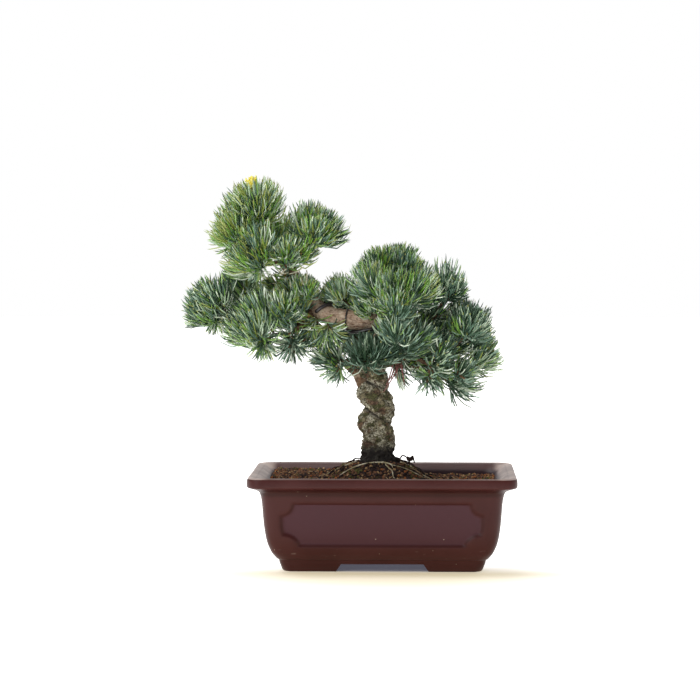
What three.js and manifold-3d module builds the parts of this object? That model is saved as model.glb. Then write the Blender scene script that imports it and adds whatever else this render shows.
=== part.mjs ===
// Japanese white pine bonsai in its pot: a twisted trunk that leans into a wired leader, boughs with masses of
// needle tufts, and a rectangular pot of soil. Millimetres, +Z up, the front towards -Y. Every size and place
// below is taken from the middle of the pot's footprint on the table; the whole plant is then moved so that the
// middle of its bounding box stands over the origin.
import * as THREE from "three";
import { mergeVertices } from "three/addons/utils/BufferGeometryUtils.js";
import Module from "manifold-3d";

const wasm = await Module();
wasm.setup();

// Driving dimensions of the pot. A wall profile is a list of [inset from the rim's outer face, height].
const POT = {
  width: 216, depth: 160, rimCorner: 11, cornerFade: 0.1, cornerSteps: 2, floorUnder: 6.4, floorTop: 13,
};
const OUTER_WALL = [
  [25.2, POT.floorUnder], [24.4, 9.4], [23.2, 10.2], [21.4, 12.2], [19.4, 14.8], [17.8, 17.8], [15.8, 22.8],
  [14.2, 29.5], [13, 38], [12.2, 48], [11.4, 57.5], [10.2, 63.4], [8.6, 66.4], [3, 69], [0.8, 70.3],
  [0, 72.4], [0.2, 75.6], [1.2, 76.8], [3, 77.3],
];
const PANEL_LEVELS = 12;
const INNER_WALL = [
  [8.6, 75.6], [15.2, 69.8], [16.4, 62], [17.6, 44], [20.5, 28], [25, 18], [31, POT.floorTop],
];
const FOOT = { inset: 28.2, edge: 27, edgeZ: 1.6, ring: 11, gapX: 38.5, gapY: 25, slant: 4.8, overlap: 1 };
const DRAIN = { radius: 8, spacing: 76, sides: 16, length: 30, middleZ: 8 };
const PANEL = {
  width: 161, shortWidth: 104, low: 22, high: 56.6, narrowing: 4.5, notch: 9.5, notchSteps: 4, depth: 1.6,
  cutLength: 60,
};

// Soil: a mound that the trunk stands on, with the ground round it heaped at the back left and sunk at the right.
// Its rings divide the pot's long and short sides into steps.
const SOIL = {
  edge: 69.8, seat: 84.5, seatRadius: 22, moundRadius: 62, gap: 0.3, rings: 5, longSteps: 6, shortSteps: 4,
  heap: 3.6, sunk: 3.4, slopeTo: 60, sunkFrom: 22,
};

// Trunk stations from the flat foot to the tip: [x, y, z, radius].
const TRUNK = [
  [-3.7, 2, 84.8, 14.2], [-4.5, 2, 100.5, 13.6], [-5.5, 2, 116.5, 13.3], [-5.5, 2, 131.5, 13],
  [-8.4, 2.5, 145.5, 12.6], [-10.6, 4, 158.5, 12.2], [-7.6, 8, 172, 11.3], [2.9, 8, 185, 10.2],
  [4.4, -1, 197, 9.1], [-7.6, -9, 202.1, 8.5], [-23.1, -10.5, 201.3, 8], [-38.1, -8, 203.1, 7.5],
  [-51.1, -2, 208, 6.9], [-61.1, 4, 217.5, 6.1], [-70.1, 6, 229.5, 5.4], [-77.1, 4, 241.5, 4.7],
  [-86.1, 2, 253.5, 3.9], [-94.1, 0, 265.5, 3.1], [-98.6, 0, 277, 2.2],
];
const TRUNK_SIDES = 12;
const TRUNK_LEVELS = 54;
const TRUNK_ROOM = 1.05;
// The twist: one ridge winds round the trunk, left-handed, with a groove on its far side. Both are full on the
// trunk's left and shallower on its right.
const TWIST = {
  pitch: 28.7, leftRidgeZ: 115.6, swell: 0.21, groove: 0.2, grooveWidth: 0.55, onRight: 0.32,
  fadeFrom: 152, fadeTo: 180,
};
const FLARE = { height: 9, grow: 0.3, lobes: 5, lobeGrow: 0.12, lobeTurn: 1 };

// Where solids of different nodes meet they keep this gap.
const GAP = 0.35;

// Boughs: their size at the trunk as a share of its radius and at most, and the bend and sag of their curve.
const BOUGH = {
  sides: 5, levels: 4, baseShare: 0.55, largest: 4.6, tipRadius: 1.9, reachBack: 0.35, sag: 0.25, stretches: 10,
};

// Needle tufts: each is a small faceted core whose forward faces rise into needles, all aimed out from its middle.
const TUFT = {
  core: 2.6, baseRadius: 0.9, tipRadius: 0.02, shorten: 0.22, twigClear: 30, gap: 0.3, least: 0.4,
  cutBack: 0.85, behind: 6,
};

// Twigs leave the stem between two shares of its length, or near the end of a stem that grows from the trunk.
const TWIG = {
  stem: 1.7, twig: 1.15, tipShare: 0.85, sides: 3, firstLeave: 0.4, leaveRange: 0.5, trunkLeave: 0.75,
};
const GOLDEN = Math.PI * (3 - Math.sqrt(5));

// What varies by chance: [least, range], the roll in radians and the others as shares.
const VARY = {
  roll: [-0.2, 0.4], open: [0.88, 0.24], twig: [0.85, 0.3], tuft: [0.86, 0.12], needle: [0.86, 0.18],
};

// What most masses have: the length of their side twigs, how far these open from the stem, how far tufts lean
// upwards, the length of their needles and how far from the tuft's axis they spread.
const PAD = { twig: 13, open: 58, lift: 0.4, needle: 30, spread: 76 };

// The masses of needles: the trunk station that the bough leaves from, the place of the mass's foot, its heading
// as [azimuth, elevation], the length of its stem, its number of side twigs, and the roll of the first of them
// round the stem, 90 being upwards. A mass with no foot grows straight from the trunk, and the apex stands on
// the trunk's tip.
const MASSES = {
  apex: {
    foot: [-98.6, 0, 277.2], heading: [175, 72], stem: 8, twigs: 3, roll: 100, twig: 9, open: 50,
    needle: 34,
  },
  crown_left: {
    leave: 16.4, foot: [-104, -4, 263], heading: [178, 38], stem: 12, twigs: 2, roll: -40, open: 68,
    lift: 0.3,
  },
  crown_front: {
    leave: 15.3, foot: [-86, -13, 248], heading: [195, -5], stem: 14, twigs: 2, roll: 66, twig: 16,
  },
  crown_right: {
    leave: 14.6, foot: [-70, -2, 260], heading: [-15, 30], stem: 15, twigs: 2, roll: 61, needle: 33,
    lift: 0.3,
  },
  crown_low: {
    leave: 14.1, foot: [-80, -9, 251], heading: [-70, 12], stem: 8, twigs: 1, roll: 0, twig: 11,
    needle: 26, lift: 0.25,
  },
  crown_back: {
    leave: 15, foot: [-84, 22, 256], heading: [88, 28], stem: 12, twigs: 2, roll: 20, twig: 15,
  },
  left_far: {
    leave: 12.7, foot: [-121, -2, 206], heading: [183, 0], stem: 16, twigs: 3, roll: 55, needle: 31,
    lift: 0.3,
  },
  left_front: {
    leave: 12.45, foot: [-81, -20, 190], heading: [190, -4], stem: 17, twigs: 3, roll: 75,
    needle: 31, lift: 0.3,
  },
  left_low: {
    leave: 12.2, foot: [-70, -9, 187], heading: [212, -32], stem: 8, twigs: 2, roll: -115, twig: 9,
    open: 75, lift: 0, needle: 26,
  },
  left_mid: {
    leave: 13, foot: [-76, -13, 197], heading: [165, 72], stem: 6, twigs: 2, roll: 0, needle: 28,
  },
  left_inner: { leave: 12.9, heading: [-115, 10], stem: 15, twigs: 2, roll: 20, needle: 27, lift: 0.6 },
  left_rear: {
    leave: 12.3, foot: [-55, 17, 205], heading: [98, 8], stem: 9, twigs: 2, roll: 20, needle: 27,
  },
  left_back: {
    leave: 13.2, foot: [-106, 22, 212], heading: [150, 20], stem: 13, twigs: 2, roll: 60, twig: 14,
    lift: 0.5,
  },
  top_left: {
    leave: 9.9, foot: [-20, 8, 210], heading: [172, 15], stem: 14, twigs: 2, roll: 10, lift: 0.4,
    needle: 27,
  },
  top_front: {
    leave: 8.7, foot: [7, -16, 208], heading: [-95, 35], stem: 11, twigs: 3, roll: 15, twig: 18,
    lift: 0.5, needle: 33, spread: 86,
  },
  top_main: {
    leave: 8, foot: [8, 4, 221], heading: [80, 82], stem: 14, twigs: 4, roll: 0, twig: 16, open: 64,
    needle: 33, lift: 0.5,
  },
  top_back: {
    leave: 7.7, foot: [10, 30, 212], heading: [82, 35], stem: 13, twigs: 2, roll: 20, twig: 16,
    needle: 31,
  },
  right_upper: {
    leave: 7.5, foot: [46, 2, 210], heading: [15, 70], stem: 9, twigs: 2, roll: 60, twig: 11,
    needle: 30,
  },
  right_mid: {
    leave: 7.1, foot: [61, -2, 182], heading: [-25, 45], stem: 11, twigs: 2, roll: 60, needle: 28,
    twig: 12,
  },
  right_far: {
    leave: 6.7, foot: [65, 2, 163], heading: [-5, 8], stem: 10, twigs: 1, roll: 40, needle: 28,
    lift: 0.15,
  },
  right_low: {
    leave: 5.9, foot: [49, -12, 155], heading: [-14, -35], stem: 10, twigs: 1, roll: 110,
    needle: 26, lift: 0, spread: 66,
  },
  right_front: {
    leave: 6.3, foot: [34, -18, 167], heading: [-30, -25], stem: 8, twigs: 2, roll: 90, needle: 24,
    lift: 0, spread: 88,
  },
  right_back: {
    leave: 7.2, foot: [40, 36, 180], heading: [48, 8], stem: 13, twigs: 2, roll: 20, twig: 15,
  },
  mid_front: {
    leave: 7, foot: [14, -24, 177], heading: [-65, 22], stem: 8, twigs: 2, roll: 20, needle: 27,
    spread: 86,
  },
  low_front: {
    leave: 5.7, foot: [-13, -20, 166], heading: [-102, 15], stem: 8, twigs: 1, roll: 10, needle: 27,
    spread: 78,
  },
  low_left: {
    leave: 5.2, foot: [-29, -8, 168], heading: [195, 0], stem: 8, twigs: 1, roll: -30, needle: 26,
    lift: 0.05, spread: 86,
  },
  low_back: {
    leave: 6.2, foot: [-14, 34, 178], heading: [105, 14], stem: 13, twigs: 2, roll: 20, twig: 15,
    needle: 28,
  },
};
const SEED = 1907;
const SEED_STEP = 31;

// The pollen cones on the new shoot at the top of the tree.
const CONES = { lean: [-0.3, -0.05, 1], stalk: 26, count: 9, radius: 1.7, ring: 2, rise: 1 };

// Training wire on the leader, and surface roots on the mound, each from one azimuth and distance to another.
const WIRE = { radius: 1.25, sides: 6, gap: 0.3 };
const LEADER_WIRE = { from: 8.7, to: 12, start: 215, sweep: -310, ease: 2.5, points: 24, steps: 30 };
const TIE_WIRE = {
  from: 10.4, to: 10.42, start: 192, sweep: 245, ease: 1, points: 12, steps: 16, radius: 0.6, sides: 5,
};
const ROOT = { radius: 0.95, sides: 5, points: 8, steps: 12, lift: 0.4 };
const ROOTS = {
  surface_root_left: { from: 205, to: 187, near: 25, far: 54 },
  surface_root_front: { from: 285, to: 291, near: 25, far: 46 },
  surface_root_right: { from: 338, to: 350, near: 25, far: 56 },
};

const COLOURS = {
  pot: [0x53373a, 0.42], soil: [0x4c3528, 0.95], bark: [0x6a604e, 0.92], limb: [0x81735f, 0.88],
  needles: [0x4f6f4d, 0.6], wire: [0x1b1718, 0.35], root: [0xa99c78, 0.85],
};

const finish = Object.fromEntries(
  Object.entries(COLOURS).map(([name, [color, roughness]]) => [
    name,
    new THREE.MeshStandardMaterial({ color, roughness, metalness: 0 }),
  ]),
);

// A repeatable sequence of numbers from 0 to 1.
function dice(seed) {
  let state = seed >>> 0;
  return () => {
    state = (state + 0x6d2b79f5) >>> 0;
    let t = state;
    t = Math.imul(t ^ (t >>> 15), t | 1);
    t ^= t + Math.imul(t ^ (t >>> 7), t | 61);
    return ((t ^ (t >>> 14)) >>> 0) / 4294967296;
  };
}

const vec = (p) => new THREE.Vector3(...p);
const rad = THREE.MathUtils.degToRad;
const smooth = (x, low, high) => THREE.MathUtils.smoothstep(x, low, high);
const chance = (next, [least, range]) => least + range * next();

// A closed geometry as a solid for cutting and joining.
function solid(geometry) {
  const bare = new THREE.BufferGeometry();
  bare.setAttribute("position", geometry.getAttribute("position"));
  bare.setIndex(geometry.index);
  const merged = mergeVertices(bare, 1e-4);
  return new wasm.Manifold(
    new wasm.Mesh({
      numProp: 3,
      vertProperties: new Float32Array(merged.attributes.position.array),
      triVerts: new Uint32Array(merged.index.array),
    }),
  );
}

// The largest single body of a solid, as a named mesh.
function meshOf(name, body, material) {
  const parts = body.decompose();
  const whole = parts.reduce((best, part) => (part.volume() > best.volume() ? part : best), parts[0]);
  const data = whole.getMesh();
  const geometry = new THREE.BufferGeometry();
  geometry.setAttribute("position", new THREE.BufferAttribute(new Float32Array(data.vertProperties), 3));
  geometry.setIndex(new THREE.BufferAttribute(new Uint32Array(data.triVerts), 1));
  geometry.computeVertexNormals();
  const mesh = new THREE.Mesh(geometry, material);
  mesh.name = name;
  return mesh;
}

// A closed skin over rings of equal length, from the first ring's cap to the last one's. The rings run
// anticlockwise seen from above, and the skin goes up outside and, where it turns over, down inside.
function loft(rings) {
  const count = rings[0].length;
  const positions = rings.flat().flatMap((p) => [p.x, p.y, p.z]);
  const faces = [];
  for (let level = 0; level + 1 < rings.length; level++) {
    for (let i = 0; i < count; i++) {
      const a = level * count + i;
      const b = level * count + ((i + 1) % count);
      faces.push(a, b, b + count, a, b + count, a + count);
    }
  }
  const last = (rings.length - 1) * count;
  for (let i = 1; i + 1 < count; i++) {
    faces.push(0, i + 1, i);
    faces.push(last, last + i, last + i + 1);
  }
  const geometry = new THREE.BufferGeometry();
  geometry.setAttribute("position", new THREE.Float32BufferAttribute(positions, 3));
  geometry.setIndex(faces);
  return geometry;
}

// A rounded rectangle at one height, from its inset behind the rim's outer face.
function potRing(inset, z) {
  const halfWidth = POT.width / 2 - inset;
  const halfDepth = POT.depth / 2 - inset;
  const corner = POT.rimCorner - inset * POT.cornerFade;
  const ring = [];
  for (const [side, sx, sy] of [[0, 1, 1], [1, -1, 1], [2, -1, -1], [3, 1, -1]]) {
    for (let step = 0; step <= POT.cornerSteps; step++) {
      const angle = (Math.PI / 2) * (side + step / POT.cornerSteps);
      ring.push(
        new THREE.Vector3(
          sx * (halfWidth - corner) + corner * Math.cos(angle),
          sy * (halfDepth - corner) + corner * Math.sin(angle),
          z,
        ),
      );
    }
  }
  return ring;
}

// The panel's outline: a rectangle, a little narrower below, whose four corners are cut in by quarter circles.
function panelOutline(width) {
  const halfHeight = (PANEL.high - PANEL.low) / 2;
  const outline = [];
  for (const [sx, sy] of [[1, -1], [1, 1], [-1, 1], [-1, -1]]) {
    const halfWidth = width / 2 - (sy < 0 ? PANEL.narrowing : 0);
    for (let step = 0; step <= PANEL.notchSteps; step++) {
      const turn = (Math.PI / 2) * (step / PANEL.notchSteps);
      const [u, v] = sx * sy < 0 ? [Math.cos(turn), Math.sin(turn)] : [Math.sin(turn), Math.cos(turn)];
      outline.push(new THREE.Vector2(sx * (halfWidth - PANEL.notch * u), sy * (halfHeight - PANEL.notch * v)));
    }
  }
  return new THREE.Shape(outline);
}

// The tool that sinks one panel: its outline pushed through the wall, outwards along -Y before it is turned.
function panelCutter(width, turn) {
  const prism = new THREE.ExtrudeGeometry(panelOutline(width), { depth: PANEL.cutLength, bevelEnabled: false });
  const reach = (turn % 180 ? POT.width : POT.depth) / 2;
  prism.rotateX(Math.PI / 2);
  prism.translate(0, -reach + PANEL.cutLength, (PANEL.low + PANEL.high) / 2);
  prism.rotateZ(rad(turn));
  return solid(prism);
}

// The slot between two feet, wider at the table than at the pot's floor.
function footGap(halfGap, turn) {
  const top = POT.floorUnder;
  const slot = new THREE.Shape([
    new THREE.Vector2(-halfGap, -FOOT.overlap), new THREE.Vector2(halfGap, -FOOT.overlap),
    new THREE.Vector2(halfGap - FOOT.slant, top), new THREE.Vector2(FOOT.slant - halfGap, top),
  ]);
  const prism = new THREE.ExtrudeGeometry(slot, { depth: POT.width * 2, bevelEnabled: false });
  prism.translate(0, 0, -POT.width);
  prism.rotateX(Math.PI / 2);
  prism.rotateZ(rad(turn));
  return solid(prism);
}

function makePot() {
  const wall = [...OUTER_WALL, ...INNER_WALL];
  let body = solid(loft(wall.map(([inset, z]) => potRing(inset, z))));
  const faceLevels = OUTER_WALL.slice(0, PANEL_LEVELS);
  const sunk = solid(loft(faceLevels.map(([inset, z]) => potRing(inset + PANEL.depth, z))));
  for (const turn of [0, 90, 180, 270]) {
    const width = turn % 180 ? PANEL.shortWidth : PANEL.width;
    body = body.subtract(panelCutter(width, turn).subtract(sunk));
  }
  const footTop = POT.floorUnder + FOOT.overlap;
  const top = OUTER_WALL[0][0];
  const outer = [[FOOT.inset, 0], [FOOT.edge, FOOT.edgeZ], [top, POT.floorUnder], [top, footTop]];
  let feet = solid(loft(outer.map(([inset, z]) => potRing(inset, z))));
  const within = [-FOOT.overlap, POT.floorUnder].map((z) => potRing(FOOT.inset + FOOT.ring, z));
  feet = feet.subtract(solid(loft(within)));
  feet = feet.subtract(footGap(FOOT.gapX, 0)).subtract(footGap(FOOT.gapY, 90));
  let pot = body.add(feet);
  for (const side of [-1, 1]) {
    const drain = new THREE.CylinderGeometry(DRAIN.radius, DRAIN.radius, DRAIN.length, DRAIN.sides);
    drain.rotateX(Math.PI / 2);
    drain.translate((side * DRAIN.spacing) / 2, 0, DRAIN.middleZ);
    pot = pot.subtract(solid(drain));
  }
  return meshOf("pot", pot, finish.pot);
}

// Height of the soil at a place: the sloping ground, rising to the trunk's seat.
function soilHeight(x, y) {
  const away = Math.hypot(x - TRUNK[0][0], y - TRUNK[0][1]);
  const rise = 1 - smooth(away, SOIL.seatRadius, SOIL.moundRadius);
  const heap = SOIL.heap * smooth(-x, 0, SOIL.slopeTo) * smooth(y, -SOIL.slopeTo, SOIL.slopeTo);
  const ground = SOIL.edge + heap - SOIL.sunk * smooth(x, SOIL.sunkFrom, SOIL.slopeTo);
  return ground + (SOIL.seat - ground) * rise;
}

// A ring just inside the pot's wall, with its straight sides divided.
function soilRing(inset, z) {
  const ring = potRing(inset + SOIL.gap, z);
  const perCorner = POT.cornerSteps + 1;
  return ring.flatMap((p, i) => {
    const after = ring[(i + 1) % ring.length];
    const corner = Math.floor(i / perCorner);
    const onSide = i % perCorner === POT.cornerSteps;
    const steps = onSide ? [SOIL.longSteps, SOIL.shortSteps][corner % 2] : 1;
    return Array.from({ length: steps }, (_, k) => p.clone().lerp(after, k / steps));
  });
}

function makeSoil() {
  const rings = [...INNER_WALL]
    .reverse()
    .filter(([, z]) => z < SOIL.edge)
    .map(([inset, z]) => soilRing(inset, Math.max(z, POT.floorTop + SOIL.gap)));
  const [[inset, height], [lowerInset, lowerHeight]] = INNER_WALL.slice(1);
  const wall = soilRing(inset, height).map((p, i) => {
    const z = soilHeight(p.x, p.y);
    return soilRing(inset + ((lowerInset - inset) * (height - z)) / (height - lowerHeight), z)[i];
  });
  const seat = wall.map((p) => {
    const turn = Math.atan2(p.y - TRUNK[0][1], p.x - TRUNK[0][0]);
    return new THREE.Vector3(
      TRUNK[0][0] + SOIL.seatRadius * Math.cos(turn), TRUNK[0][1] + SOIL.seatRadius * Math.sin(turn), SOIL.seat,
    );
  });
  for (let k = 0; k <= SOIL.rings; k++) {
    rings.push(
      wall.map((p, i) => {
        const place = p.clone().lerp(seat[i], k / SOIL.rings);
        place.z = soilHeight(place.x, place.y);
        return place;
      }),
    );
  }
  return meshOf("soil", solid(loft(rings)), finish.soil);
}

// A limb: a cylinder bent along a curve, its radius given by a function of the share of the way and the angle.
function limbGeometry(curve, sides, levels, radius, frames) {
  const cylinder = new THREE.CylinderGeometry(1, 1, 1, sides, levels);
  const place = cylinder.getAttribute("position");
  const point = new THREE.Vector3();
  for (let i = 0; i < place.count; i++) {
    const along = place.getY(i) + 0.5;
    const level = Math.round(along * levels);
    const across = Math.hypot(place.getX(i), place.getZ(i));
    const angle = Math.atan2(place.getZ(i), place.getX(i));
    curve.getPoint(level / levels, point);
    const reach = across * radius(level / levels, angle, point);
    point.addScaledVector(frames[level].across, reach * Math.cos(angle));
    point.addScaledVector(frames[level].over, -reach * Math.sin(angle));
    place.setXYZ(i, point.x, point.y, point.z);
  }
  return cylinder;
}

// Cross-section axes along a curve that turn as little as they can, starting from the given first axis.
function framesAlong(curve, levels, firstAcross, firstTangent) {
  const frames = [];
  const across = firstAcross.clone();
  for (let level = 0; level <= levels; level++) {
    const tangent = level === 0 && firstTangent ? firstTangent.clone() : curve.getTangent(level / levels);
    across.addScaledVector(tangent, -across.dot(tangent)).normalize();
    frames.push({ across: across.clone(), over: tangent.clone().cross(across) });
  }
  return frames;
}

const trunkMiddles = TRUNK.map(([x, y, z]) => new THREE.Vector3(x, y, z));
const trunkCurve = new THREE.CatmullRomCurve3(trunkMiddles, false, "centripetal");

// The trunk's middle at a station number, which may lie between two stations.
function trunkPoint(station) {
  return trunkCurve.getPoint(station / (TRUNK.length - 1));
}

// The trunk's mean radius at a station number, which may lie between two stations.
function trunkRadius(station) {
  const low = Math.min(Math.floor(station), TRUNK.length - 2);
  return THREE.MathUtils.lerp(TRUNK[low][3], TRUNK[low + 1][3], station - low);
}

// The twisted, grooved and flared section of the trunk. Angles run anticlockwise seen from above, from +X.
function trunkSection(share, angle, point, grow) {
  const mean = trunkRadius(share * (TRUNK.length - 1));
  const fade = 1 - smooth(point.z, TWIST.fadeFrom, TWIST.fadeTo);
  const ridge = Math.PI + (2 * Math.PI * (TWIST.leftRidgeZ - point.z)) / TWIST.pitch;
  const turn = angle - ridge;
  const fromGroove = Math.acos(THREE.MathUtils.clamp(-Math.cos(turn), -1, 1));
  const cut = Math.exp(-((fromGroove / TWIST.grooveWidth) ** 2));
  const depth = THREE.MathUtils.lerp(1, TWIST.onRight, (1 + Math.cos(angle)) / 2);
  const swell = depth * (TWIST.swell * Math.cos(turn) - TWIST.groove * cut);
  const low = 1 - smooth(point.z - TRUNK[0][2], 0, FLARE.height);
  const flare = low * low * (FLARE.grow + FLARE.lobeGrow * Math.cos(FLARE.lobes * angle + FLARE.lobeTurn));
  return mean * (1 + fade * swell * (1 - low) + flare) + grow;
}

function trunkSolid(grow) {
  const up = new THREE.Vector3(0, 0, 1);
  const frames = framesAlong(trunkCurve, TRUNK_LEVELS, new THREE.Vector3(1, 0, 0), up);
  const section = (share, angle, point) => trunkSection(share, -angle, point, grow);
  return solid(limbGeometry(trunkCurve, TRUNK_SIDES, TRUNK_LEVELS, section, frames));
}

// Unit vector for a heading of azimuth and elevation in degrees: 0 is +X, 90 is +Y, away from the viewer.
function heading([azimuth, elevation]) {
  const flat = Math.cos(rad(elevation));
  return vec([flat * Math.cos(rad(azimuth)), flat * Math.sin(rad(azimuth)), Math.sin(rad(elevation))]);
}

// Round-ended stretches already taken, so that needles can be kept clear of everything that isn't their own.
const taken = [];
function take(a, b, radiusA, radiusB, owner) {
  const mid = a.clone().lerp(b, 0.5);
  taken.push({ a: a.clone(), b: b.clone(), radiusA, radiusB, owner, mid, half: a.distanceTo(b) / 2 });
}

// Closest approach of two stretches, less both radii there.
function roomBetween(a, b, ra, rb, other) {
  const d1 = b.clone().sub(a);
  const d2 = other.b.clone().sub(other.a);
  const r = a.clone().sub(other.a);
  const aa = d1.dot(d1);
  const ee = Math.max(d2.dot(d2), 1e-9);
  const f = d2.dot(r);
  const c = d1.dot(r);
  const bb = d1.dot(d2);
  const denominator = aa * ee - bb * bb;
  let s = denominator > 1e-9 ? THREE.MathUtils.clamp((bb * f - c * ee) / denominator, 0, 1) : 0;
  let t = (bb * s + f) / ee;
  if (t < 0 || t > 1) {
    t = THREE.MathUtils.clamp(t, 0, 1);
    s = THREE.MathUtils.clamp((bb * t - c) / aa, 0, 1);
  }
  const gap = a.clone().addScaledVector(d1, s).distanceTo(other.a.clone().addScaledVector(d2, t));
  return gap - (ra + (rb - ra) * s) - (other.radiusA + (other.radiusB - other.radiusA) * t);
}

function isClear(a, b, ra, rb, owners, gap) {
  const mid = a.clone().lerp(b, 0.5);
  const half = a.distanceTo(b) / 2;
  return taken.every((other) => {
    if (owners.includes(other.owner)) return true;
    const reach = half + other.half + ra + other.radiusA + gap;
    if (mid.distanceToSquared(other.mid) > reach * reach) return true;
    return roomBetween(a, b, ra, rb, other) > gap;
  });
}

// A mass's bough: a curve from inside the trunk to the mass's foot, arriving along the mass's heading.
function boughCurve(mass) {
  const start = trunkPoint(mass.leave);
  const end = vec(mass.foot);
  const aim = heading(mass.heading);
  const pull = start.distanceTo(end) * BOUGH.reachBack;
  const out = end.clone().sub(start).normalize();
  out.z -= BOUGH.sag;
  out.normalize();
  const leaving = start.clone().addScaledVector(out, pull);
  const arriving = end.clone().addScaledVector(aim, -pull);
  return new THREE.CubicBezierCurve3(start, leaving, arriving, end);
}

function boughRadius(mass, share) {
  const base = Math.min(trunkRadius(mass.leave) * BOUGH.baseShare, BOUGH.largest);
  return THREE.MathUtils.lerp(base, BOUGH.tipRadius, share);
}

function boughSolid(mass, grow) {
  const curve = boughCurve(mass);
  const tangent = curve.getTangent(0);
  const side = Math.abs(tangent.z) > 0.9 ? new THREE.Vector3(1, 0, 0) : new THREE.Vector3(0, 0, 1);
  const frames = framesAlong(curve, BOUGH.levels, side.cross(tangent).normalize());
  const radius = (share) => boughRadius(mass, share) + grow;
  return solid(limbGeometry(curve, BOUGH.sides, BOUGH.levels, radius, frames));
}

// The stem, twigs and tuft places of a mass, by one seeded rule: a tuft at the stem's end, and side twigs that
// leave the stem in turn, each a golden angle round it from the last.
function growMass(mass, seed) {
  const next = dice(seed);
  const up = new THREE.Vector3(0, 0, 1);
  const aim = heading(mass.heading);
  const foot = mass.foot ? vec(mass.foot).addScaledVector(aim, GAP) : trunkPoint(mass.leave);
  const end = foot.clone().addScaledVector(aim, mass.stem);
  const across = up.clone().cross(aim).normalize();
  const lean = (direction) => direction.clone().lerp(up, mass.lift).normalize();
  const tufts = [{ base: end, axis: lean(aim), twig: aim, needle: mass.needle }];
  const limbs = [{ a: foot, b: end, ra: TWIG.stem, rb: TWIG.twig }];
  for (let k = 0; k < mass.twigs; k++) {
    const roll = rad(mass.roll) + k * GOLDEN + chance(next, VARY.roll);
    const open = rad(mass.open) * chance(next, VARY.open);
    const out = across.clone().applyAxisAngle(aim, roll);
    const direction = aim.clone().multiplyScalar(Math.cos(open)).addScaledVector(out, Math.sin(open));
    const share = mass.foot ? TWIG.firstLeave + (TWIG.leaveRange * k) / mass.twigs : TWIG.trunkLeave;
    const leave = foot.clone().lerp(end, share);
    const tip = leave.clone().addScaledVector(direction, mass.twig * chance(next, VARY.twig));
    const needle = mass.needle * chance(next, VARY.tuft);
    tufts.push({ base: tip, axis: lean(direction), twig: direction, needle });
    limbs.push({ a: leave, b: tip, ra: TWIG.twig, rb: TWIG.twig * TWIG.tipShare });
  }
  return { tufts, limbs, next };
}

// One tuft. Every needle points straight away from the core's middle, so none crosses another of the same tuft,
// and one that would come near anything else is cut short. The core's back is drawn together to one corner.
function tuftSolid(tuft, mass, owner, massName, next) {
  const ball = new THREE.IcosahedronGeometry(TUFT.core, 1);
  const turn = new THREE.Quaternion().setFromUnitVectors(new THREE.Vector3(0, 0, 1), tuft.axis);
  turn.multiply(new THREE.Quaternion().setFromAxisAngle(new THREE.Vector3(0, 0, 1), next() * Math.PI));
  ball.applyQuaternion(turn);
  const place = ball.getAttribute("position");
  const backLimit = Math.cos(rad(mass.spread + TUFT.behind));
  const backPole = tuft.axis.clone().multiplyScalar(-TUFT.core);
  const corners = [];
  for (let face = 0; face < place.count; face += 3) {
    const ends = [0, 1, 2].map((k) => new THREE.Vector3().fromBufferAttribute(place, face + k));
    const out = ends[0].clone().add(ends[1]).add(ends[2]).normalize();
    const turned = ends.map((p) => p.dot(tuft.axis) < backLimit * TUFT.core);
    if (turned.filter(Boolean).length > 1) continue;
    const [a, b, c] = ends.map((p, k) => (turned[k] ? backPole.clone() : p).add(tuft.base));
    const angle = THREE.MathUtils.radToDeg(out.angleTo(tuft.axis));
    const fromTwig = 180 - THREE.MathUtils.radToDeg(out.angleTo(tuft.twig));
    const full = tuft.needle * (1 - TUFT.shorten * (angle / mass.spread) ** 2) * chance(next, VARY.needle);
    const wanted = angle < mass.spread && fromTwig > TUFT.twigClear && !turned.some(Boolean);
    const root = tuft.base.clone().addScaledVector(out, TUFT.core);
    let length = full;
    let tip = null;
    while (wanted && !tip && length > tuft.needle * TUFT.least) {
      const end = tuft.base.clone().addScaledVector(out, length);
      if (isClear(root, end, TUFT.baseRadius, TUFT.tipRadius, [owner, massName], TUFT.gap)) tip = end;
      length *= TUFT.cutBack;
    }
    if (tip) {
      take(root, tip, TUFT.baseRadius, TUFT.tipRadius, owner);
      corners.push(a, b, tip, b, c, tip, c, a, tip);
    } else {
      corners.push(a, b, c);
    }
  }
  return solid(new THREE.BufferGeometry().setFromPoints(corners));
}

// A straight tapering twig.
function twigSolid({ a, b, ra, rb }) {
  const length = a.distanceTo(b);
  const twig = new THREE.CylinderGeometry(rb, ra, length, TWIG.sides);
  const along = b.clone().sub(a).normalize();
  const turn = new THREE.Quaternion().setFromUnitVectors(new THREE.Vector3(0, 1, 0), along);
  const mid = a.clone().lerp(b, 0.5);
  twig.applyQuaternion(turn).translate(mid.x, mid.y, mid.z);
  return solid(twig);
}

// The candle at the very top, with its knot of pollen cones.
function conesSolid(foot) {
  const aim = vec(CONES.lean).normalize();
  const tip = foot.clone().addScaledVector(aim, CONES.stalk);
  const top = tip.clone().addScaledVector(aim, CONES.count * CONES.rise);
  take(foot, tip, TWIG.twig, TWIG.twig, "mass_apex");
  take(tip, top, CONES.ring + CONES.radius, CONES.ring + CONES.radius, "mass_apex");
  let cones = twigSolid({ a: foot, b: top, ra: TWIG.twig, rb: TWIG.twig });
  for (let k = 0; k < CONES.count; k++) {
    const ball = new THREE.IcosahedronGeometry(CONES.radius, 0);
    const side = new THREE.Vector3(Math.cos(k * GOLDEN), Math.sin(k * GOLDEN), 0).multiplyScalar(CONES.ring);
    const middle = tip.clone().add(side).addScaledVector(aim, k * CONES.rise);
    ball.translate(middle.x, middle.y, middle.z);
    cones = cones.add(solid(ball));
  }
  return cones;
}

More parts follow.
